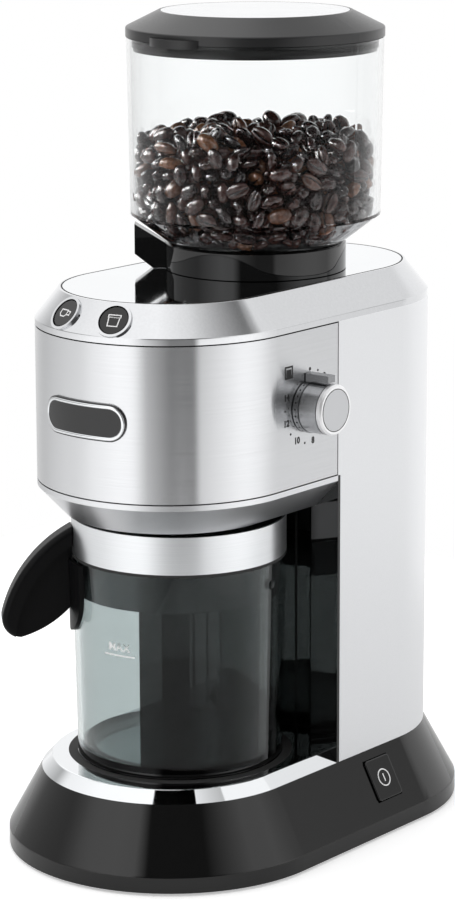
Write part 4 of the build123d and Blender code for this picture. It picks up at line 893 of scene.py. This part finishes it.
class GRINDER_OT_dial_marks(Operator):
    """Print numbers, dots and a container sign round the dial"""

    bl_idname = "grinder.dial_marks"
    bl_label = "Dial marks"

    def execute(self, context):
        sizes = context.scene.grinder_sizes
        radius = sizes.dial_mark_radius
        first, step = 45.0, 41.0
        weight, small_dot, large_dot, ring_dot = 0.2 * MM, 0.55 * MM, 0.8 * MM, 0.45 * MM
        shapes = []
        for index, number in enumerate(range(2, 16, 2)):
            middle = polar(radius, first - step * index)
            shapes.append(text_shape(str(number), sizes.numeral_height, middle, weight))
            shapes.append(disc_shape(small_dot, polar(radius, first + step * (0.5 - index))))
        shapes.append(disc_shape(large_dot, polar(radius, first + step)))
        sign = Vector((-14.2, 17.5)) * MM
        side, line, fill_share, fill_drop = 2.5 * MM, 0.8 * MM, 0.68, Vector((0, 0.4 * MM))
        box = [Vector((-1, -1)), Vector((1, -1)), Vector((1, 1)), Vector((-1, 1))]
        shapes.append(ribbon([sign + corner * side for corner in box], line, closed=True))
        filled = [sign + corner * side * fill_share - fill_drop for corner in box]
        shapes.append((filled, [(0, 1, 2, 3)]))
        panel = on_plane(DIAL_CENTRE, BACK, UP)
        add_print("dial_marks", shapes, panel, "body", "black_print")
        spread = [
            (point.co.x, hypot(point.co.y - DIAL_CENTRE.y, point.co.z - DIAL_CENTRE.z))
            for point in NODES["quantity_ring"].data.vertices
            if point.co.z < DIAL_CENTRE.z
        ]
        rim = max(reach for _, reach in spread)
        rim_within, sunk, corners = 0.05 * MM, -0.1 * MM, 10
        dot_angles = range(118, 298, 15)
        rim_x = [x for x, reach in spread if reach > rim - rim_within]
        places, turns = [], []
        for angle in dot_angles:
            spot = polar(rim, angle)
            places.append((sum(rim_x) / len(rim_x), DIAL_CENTRE.y + spot.x, DIAL_CENTRE.z + spot.y))
            lie = Matrix.Rotation(radians(angle), 3, "X") @ Matrix.Rotation(pi / 2, 3, "Z")
            turns.append(lie.to_euler())
        rings = [
            (height, point.x, point.y)
            for height in (sunk, sizes.ink)
            for point in disc_shape(ring_dot, count=corners)[0]
        ]
        dot = mesh_of("ring_dot", rings, capped_faces(2, corners))
        mesh = scattered("ring_dots", dot, places, turns, finish("black_print"))
        add_piece("ring_dots", mesh, "quantity_ring", finish("black_print"))
        knob = on_plane(Vector((knob_high.x, DIAL_CENTRE.y, DIAL_CENTRE.z)), BACK, UP)
        knob_radius = (knob_high.z - knob_low.z) / 2
        face_share, groove_shade_share, width_share, around = 0.8, 0.83, 0.035, 48
        plain = [disc_shape(face_share * knob_radius, count=around)]
        add_print("knob_face", plain, knob, "strength_knob", "blasted_face")
        # A thin black ring on the knob's face is painted shade: it stands for the shaded wall of a groove
        # that is not cut
        edge_points = circle_points(groove_shade_share * knob_radius, around)
        edge = [ribbon(edge_points, width_share * knob_radius, closed=True)]
        add_print("knob_face_line", edge, knob, "strength_knob", "black_print")
        return {"FINISHED"}


class GRINDER_OT_deck_seal(Operator):
    """Lay a thin black strip in the joint round the top deck: painted shade of the gap"""

    bl_idname = "grinder.deck_seal"
    bl_label = "Deck joint shade"

    def execute(self, context):
        low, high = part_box("top_deck")
        half, width = high.x, context.scene.grinder_sizes.seal_width
        back, front = high.y - half, low.y + half
        outline = arc_points(half, 0, 180, 60, (0, back)) + arc_points(half, 180, 360, 60, (0, front))
        # Black strip along the joint: painted shade of the gap round the deck
        joint_shade_strip = [ribbon(outline, width, closed=True)]
        deck = on_plane(UP * high.z, RIGHT, BACK)
        add_print("deck_seal", joint_shade_strip, deck, "body", "black_rubber")
        return {"FINISHED"}


class GRINDER_OT_stand_ring(Operator):
    """Lay the black rubber ring round the container's stand"""

    bl_idname = "grinder.stand_ring"
    bl_label = "Stand ring"

    def execute(self, context):
        width = context.scene.grinder_sizes.stand_width
        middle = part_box("container_foot")[1].x + width / 2
        outline = circle_points(middle, 120, CUP_AXIS.xy)
        ring = [ribbon(outline, width, closed=True)]
        deck = on_plane(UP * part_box("base_deck")[1].z, RIGHT, BACK)
        add_print("stand_ring", ring, deck, "body", "black_rubber")
        return {"FINISHED"}


class GRINDER_OT_button_signs(Operator):
    """Print a cup on the left button and a container on the right one"""

    bl_idname = "grinder.button_signs"
    bl_label = "Button signs"

    def execute(self, context):
        cup = ((-3.4, 1.6), (1.2, 1.6), (1.2, -0.6), (0.2, -1.7), (-2.4, -1.7), (-3.4, -0.6))
        ear = ((1.2, 1.2), (3.2, 1.2), (3.2, -0.6), (1.2, -0.6))
        jar = ((-2.7, 1.4), (2.7, 1.4), (2.4, -3.0), (-2.4, -3.0))
        cap = ((-3.0, 2.6), (3.0, 2.6), (3.0, 1.4), (-3.0, 1.4))
        stroke = 0.5 * MM
        for name, lines in (
            ("left_button", ((cup, True), (ear, False))),
            ("right_button", ((jar, True), (cap, True))),
        ):
            middle, out = outer_face(name, -BACK)
            across = UP.cross(out).normalized()
            shapes = [ribbon([Vector(p) * MM for p in line], stroke, closed) for line, closed in lines]
            place = on_plane(middle, across, out.cross(across))
            add_print(name + "_sign", shapes, place, name, "white_print")
        return {"FINISHED"}


class GRINDER_OT_power_sign(Operator):
    """Print the on-off sign on the power button"""

    bl_idname = "grinder.power_sign"
    bl_label = "Power sign"

    def execute(self, context):
        middle, out = outer_face("power_button", RIGHT)
        across = UP.cross(out).normalized()
        place = on_plane(middle, across, out.cross(across))
        ring_radius, ring_line, bar_half, bar_line = 4.0 * MM, 0.6 * MM, 1.9 * MM, 0.7 * MM
        ring = ribbon(circle_points(ring_radius, 48), ring_line, closed=True)
        bar = ribbon([Vector((0, -bar_half)), Vector((0, bar_half))], bar_line)
        add_print("power_sign", [ring, bar], place, "power_button", "white_print")
        return {"FINISHED"}


class GRINDER_OT_container_marks(Operator):
    """Print the fill line on the container and set its small pip"""

    bl_idname = "grinder.container_marks"
    bl_label = "Container marks"

    def execute(self, context):
        sizes = context.scene.grinder_sizes
        clear, line_turn, half_span, steps = 0.02 * MM, radians(6.0), radians(9.6), 12
        line_width, letter_height, letter_rise, weight = 0.6 * MM, 3.9 * MM, 3.8 * MM, 0.03 * MM
        radius = cup_radius(sizes.level_line) + clear
        place = on_round(CUP_AXIS, radius, sizes.level_line, line_turn)
        half = radius * half_span
        line = [Vector((-half + 2 * half * step / steps, 0)) for step in range(steps + 1)]
        words = text_shape("MAX", letter_height, (0, letter_rise), weight)
        shapes = [ribbon(line, line_width), words]
        add_print("fill_line", shapes, place, "container", "white_print")
        pip_turn, pip_level, around = radians(99), 129.4 * MM, 20
        out = Vector((sin(pip_turn), -cos(pip_turn), 0))
        side = Vector((cos(pip_turn), sin(pip_turn), 0))
        middle = CUP_AXIS + out * cup_radius(pip_level) + UP * pip_level
        profile = ((2.4, -0.1), (2.3, 0.3), (1.9, 0.7), (1.2, 0.95), (0.4, 1.0))
        points = []
        for reach, proud in profile:
            for step in range(around):
                angle = 2 * pi * step / around
                points.append(middle + (side * cos(angle) + UP * sin(angle)) * reach * MM + out * proud * MM)
        pip = mesh_of("container_pip", points, capped_faces(len(profile), around), smooth=True)
        add_piece("container_pip", pip, "container", finish("smoked_san"))
        return {"FINISHED"}


class GRINDER_OT_screws(Operator):
    """Set cross-recessed screws in the underside"""

    bl_idname = "grinder.screws"
    bl_label = "Base screws"

    def execute(self, context):
        low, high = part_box("base_screws")
        head, shank, whole = 3.2, 1.4, (high.z - low.z) / MM
        count, cross_reach = 16, 2.4
        # Radius and height in millimetres, and how far the ring reaches out along the cross
        rings = (
            (0.35, 0.9, cross_reach),
            (0.7, 0.0, cross_reach),
            (head * 0.72, 0.0, 1.0),
            (head, 0.45, 1.0),
            (head, 2.0, 1.0),
            (shank, 2.0, 1.0),
            (shank, whole - 1.0, 1.0),
            (0.3, whole, 1.0),
        )
        points = []
        for reach, height, crossed in rings:
            for step in range(count):
                angle = 2 * pi * step / count
                span = reach * (crossed if step % 4 == 0 else 1.0)
                points.append(Vector((span * cos(angle), span * sin(angle), height)) * MM)
        shape = mesh_of("base_screw", points, capped_faces(len(rings), count))
        edge = head * MM
        places = [
            (x, y, low.z) for x in (low.x + edge, high.x - edge) for y in (low.y + edge, high.y - edge)
        ]
        first_turn, turn_step = 0.4, 0.9
        turns = [Euler((0, 0, first_turn + turn_step * index)) for index in range(len(places))]
        mesh = scattered("base_screw_set", shape, places, turns, finish("zinc_plate"))
        piece = add_piece("base_screw_set", mesh, "body", finish("zinc_plate"))
        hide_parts("base_screws")
        return {"FINISHED"}


class GRINDER_OT_stage(Operator):
    """Set up the white table top, the studio light and the camera"""

    bl_idname = "grinder.stage"
    bl_label = "Studio"

    def execute(self, context):
        scene = context.scene
        half = scene.grinder_sizes.floor / 2
        corners = [(-half, -half, 0), (half, -half, 0), (half, half, 0), (-half, half, 0)]
        floor_mesh = flat_mesh("floor", corners, [(0, 1, 2, 3)])
        floor = link_object("floor", floor_mesh)
        floor_mesh.materials.append(self.white_floor(scene.grinder_colours.floor))
        flag_middle, flag_level = Vector((0.04, -0.10)), 0.6
        flag_edges = ((0.225, range(10, 75, 8)), (0.33, range(74, 9, -8)))
        flag = [
            flag_middle + reach * Vector((sin(radians(turn)), -cos(radians(turn))))
            for reach, turns in flag_edges
            for turn in turns
        ]
        self.card("black_flag", [(point.x, point.y, flag_level) for point in flag], level=0.0)
        card_x, card_back, card_foot, card_top = 0.36, 0.42, 0.33, 0.62
        upright = ((0, card_foot), (card_back, card_foot), (card_back, card_top), (0, card_top))
        self.card("white_card", [(card_x, y, z) for y, z in upright], level=1.15)
        lamp_away, lamp_half = 0.9, 0.24
        for name, turn, rise, level in (("bean_lamp", -25, 42, 15.0), ("side_bean_lamp", -65, 24, 30.0)):
            lamp = self.card(name, self.square(turn, rise, lamp_away, lamp_half), level)
            lamp.visible_glossy, lamp.visible_transmission = False, True
        self.light(scene)
        self.camera(scene)
        scene.view_settings.view_transform = "Standard"
        return {"FINISHED"}

    def card(self, name, corners, level):
        """Studio card near the object, which shows as a reflection and adds no light to a matt surface."""
        mesh = flat_mesh(name, corners, [tuple(range(len(corners)))])
        card = link_object(name, mesh)
        material, tree = new_material(name, empty=True)
        scattered_before = add_node(tree, "ShaderNodeLightPath").outputs["Diffuse Depth"]
        mirrored = add_node(tree, "ShaderNodeMath", {0: scattered_before, 1: 1.0}, operation="LESS_THAN")
        strength = add_node(tree, "ShaderNodeMath", {0: mirrored.outputs[0], 1: level}, operation="MULTIPLY")
        glow = add_node(tree, "ShaderNodeEmission", {"Strength": strength.outputs[0]})
        add_node(tree, "ShaderNodeOutputMaterial", {"Surface": glow.outputs[0]})
        mesh.materials.append(material)
        for kind in ("camera", "diffuse", "shadow", "transmission"):
            setattr(card, "visible_" + kind, False)
        return card

    def square(self, turn, rise, away, half):
        """Corners of a square that faces the hopper, from its turn and rise in degrees and its distance."""
        middle = BURR_AXIS + UP * (bowl_low.z + bowl_high.z) / 2
        turn, rise = radians(turn), radians(rise)
        toward = Vector((sin(turn) * cos(rise), -cos(turn) * cos(rise), sin(rise)))
        across = toward.cross(UP).normalized() * half
        over = across.cross(toward).normalized() * half
        corners = ((-1, -1), (1, -1), (1, 1), (-1, 1))
        return [middle + toward * away + across * a + over * b for a, b in corners]

    def white_floor(self, shade):
        """Matt white table top that stays white to the eye, takes a soft shadow and is clear from below."""
        material, tree = new_material("white_table", empty=True)
        matt = add_node(tree, "ShaderNodeBsdfDiffuse", {"Color": shade})
        path = add_node(tree, "ShaderNodeLightPath").outputs
        lift = 0.0
        for kind, share in (("Is Camera Ray", 0.45), ("Is Glossy Ray", 0.05), ("Is Transmission Ray", 0.45)):
            lift = add_node(
                tree, "ShaderNodeMath", {0: path[kind], 1: share, 2: lift}, operation="MULTIPLY_ADD"
            ).outputs[0]
        glow = add_node(tree, "ShaderNodeEmission", {"Strength": lift})
        both = add_node(tree, "ShaderNodeAddShader", {0: matt.outputs[0], 1: glow.outputs[0]})
        below = add_node(tree, "ShaderNodeNewGeometry").outputs["Backfacing"]
        clear = add_node(tree, "ShaderNodeBsdfTransparent")
        sided = add_node(tree, "ShaderNodeMixShader", {0: below, 1: both.outputs[0], 2: clear.outputs[0]})
        add_node(tree, "ShaderNodeOutputMaterial", {"Surface": sided.outputs[0]})
        return material

    def light(self, scene):
        """Studio round the object, from the rows of STUDIO. The camera itself sees plain white."""
        world = bpy.data.worlds.new("studio")
        scene.world = world
        world.use_nodes = True
        tree = world.node_tree
        tree.nodes.clear()
        ray = add_node(tree, "ShaderNodeTexCoord").outputs["Generated"]
        way = add_node(tree, "ShaderNodeSeparateXYZ", {0: ray}).outputs
        front = add_node(tree, "ShaderNodeMath", {0: way["Y"], 1: -1.0}, operation="MULTIPLY").outputs[0]
        turn = add_node(tree, "ShaderNodeMath", {0: way["X"], 1: front}, operation="ARCTAN2").outputs[0]
        share = add_node(
            tree, "ShaderNodeMapRange", {"Value": turn, "From Min": -pi, "From Max": pi}
        ).outputs["Result"]
        rows = [sum(parts, ()) for _, *parts in STUDIO]
        strongest = max(level for row in rows for _, level in row)
        levels = []
        for row in rows:
            ramp = add_node(tree, "ShaderNodeValToRGB", {"Fac": share})
            marks = ramp.color_ramp.elements
            while len(marks) < len(row):
                marks.new(0.5)
            for mark, (turned, level) in zip(marks, row):
                mark.position = (turned + 180) / 360
                mark.color = (level / strongest,) * 3 + (1,)
            levels.append(ramp.outputs["Color"])
        shown = levels[0]
        for upper, ((_, start), *_), ((end, _), *_) in zip(levels[1:], STUDIO, STUDIO[1:]):
            rise = add_node(
                tree,
                "ShaderNodeMapRange",
                {"Value": way["Z"], "From Min": sin(radians(start)), "From Max": sin(radians(end))},
                interpolation_type="SMOOTHSTEP",
            ).outputs["Result"]
            blend = add_node(tree, "ShaderNodeMix", {0: rise, 6: shown, 7: upper}, data_type="RGBA")
            shown = blend.outputs[2]
        studio = add_node(tree, "ShaderNodeBackground", {"Color": shown, "Strength": strongest})
        white = add_node(tree, "ShaderNodeBackground", {"Color": (1, 1, 1, 1), "Strength": 1.0})
        seen = add_node(tree, "ShaderNodeLightPath").outputs["Is Camera Ray"]
        both = add_node(tree, "ShaderNodeMixShader", {0: seen, 1: studio.outputs[0], 2: white.outputs[0]})
        add_node(tree, "ShaderNodeOutputWorld", {"Surface": both.outputs[0]})

    def camera(self, scene):
        """Camera at the photograph's angle: to the right of the front and a little above."""
        azimuth, away, height = radians(39.1), 1.42134, 0.50662
        yaw, pitch, roll = radians(0.17), radians(12.61), radians(-0.19)
        lens_data = bpy.data.cameras.new("camera")
        lens_data.sensor_width = 36.0
        lens_data.lens = 123.66
        shift_pixels, picture_height = -19.32, 900
        lens_data.shift_y = shift_pixels / picture_height
        camera = link_object("camera", lens_data)
        turn = azimuth + yaw
        right = Vector((cos(turn), sin(turn), 0))
        ahead = Vector((-sin(turn), cos(turn), 0)) * cos(pitch) - UP * sin(pitch)
        over = right.cross(ahead)
        right, over = right * cos(roll) + over * sin(roll), over * cos(roll) - right * sin(roll)
        place = Vector((away * sin(azimuth), -away * cos(azimuth), height))
        axes = Matrix((right, over, -ahead)).transposed().to_4x4()
        camera.matrix_world = Matrix.Translation(place) @ axes
        scene.camera = camera


STEPS = (
    GRINDER_OT_metal_parts,
    GRINDER_OT_plastic_parts,
    GRINDER_OT_drive_parts,
    GRINDER_OT_beans,
    GRINDER_OT_badge,
    GRINDER_OT_dial_marks,
    GRINDER_OT_deck_seal,
    GRINDER_OT_stand_ring,
    GRINDER_OT_button_signs,
    GRINDER_OT_power_sign,
    GRINDER_OT_container_marks,
    GRINDER_OT_screws,
    GRINDER_OT_stage,
)


class GRINDER_PT_panel(Panel):
    """Lists the grinder's sizes, colours and steps"""

    bl_idname = "GRINDER_PT_panel"
    bl_label = "Burr coffee grinder"
    bl_space_type = "VIEW_3D"
    bl_region_type = "UI"
    bl_category = "Grinder"

    def draw(self, context):
        for group in (context.scene.grinder_sizes, context.scene.grinder_colours):
            column = self.layout.column(align=True)
            for name in group.bl_rna.properties.keys():
                if name not in ("rna_type", "name"):
                    column.prop(group, name)
        for step in STEPS:
            self.layout.operator(step.bl_idname)


CLASSES = (GrinderSizes, GrinderColours, *STEPS, GRINDER_PT_panel)


def register():
    for kind in CLASSES:
        bpy.utils.register_class(kind)
    bpy.types.Scene.grinder_sizes = PointerProperty(type=GrinderSizes)
    bpy.types.Scene.grinder_colours = PointerProperty(type=GrinderColours)


def unregister():
    del bpy.types.Scene.grinder_colours
    del bpy.types.Scene.grinder_sizes
    for kind in reversed(CLASSES):
        bpy.utils.unregister_class(kind)


def main():
    register()
    for step in STEPS:
        group, name = step.bl_idname.split(".")
        getattr(getattr(bpy.ops, group), name)()


if __name__ == "__main__":
    main()
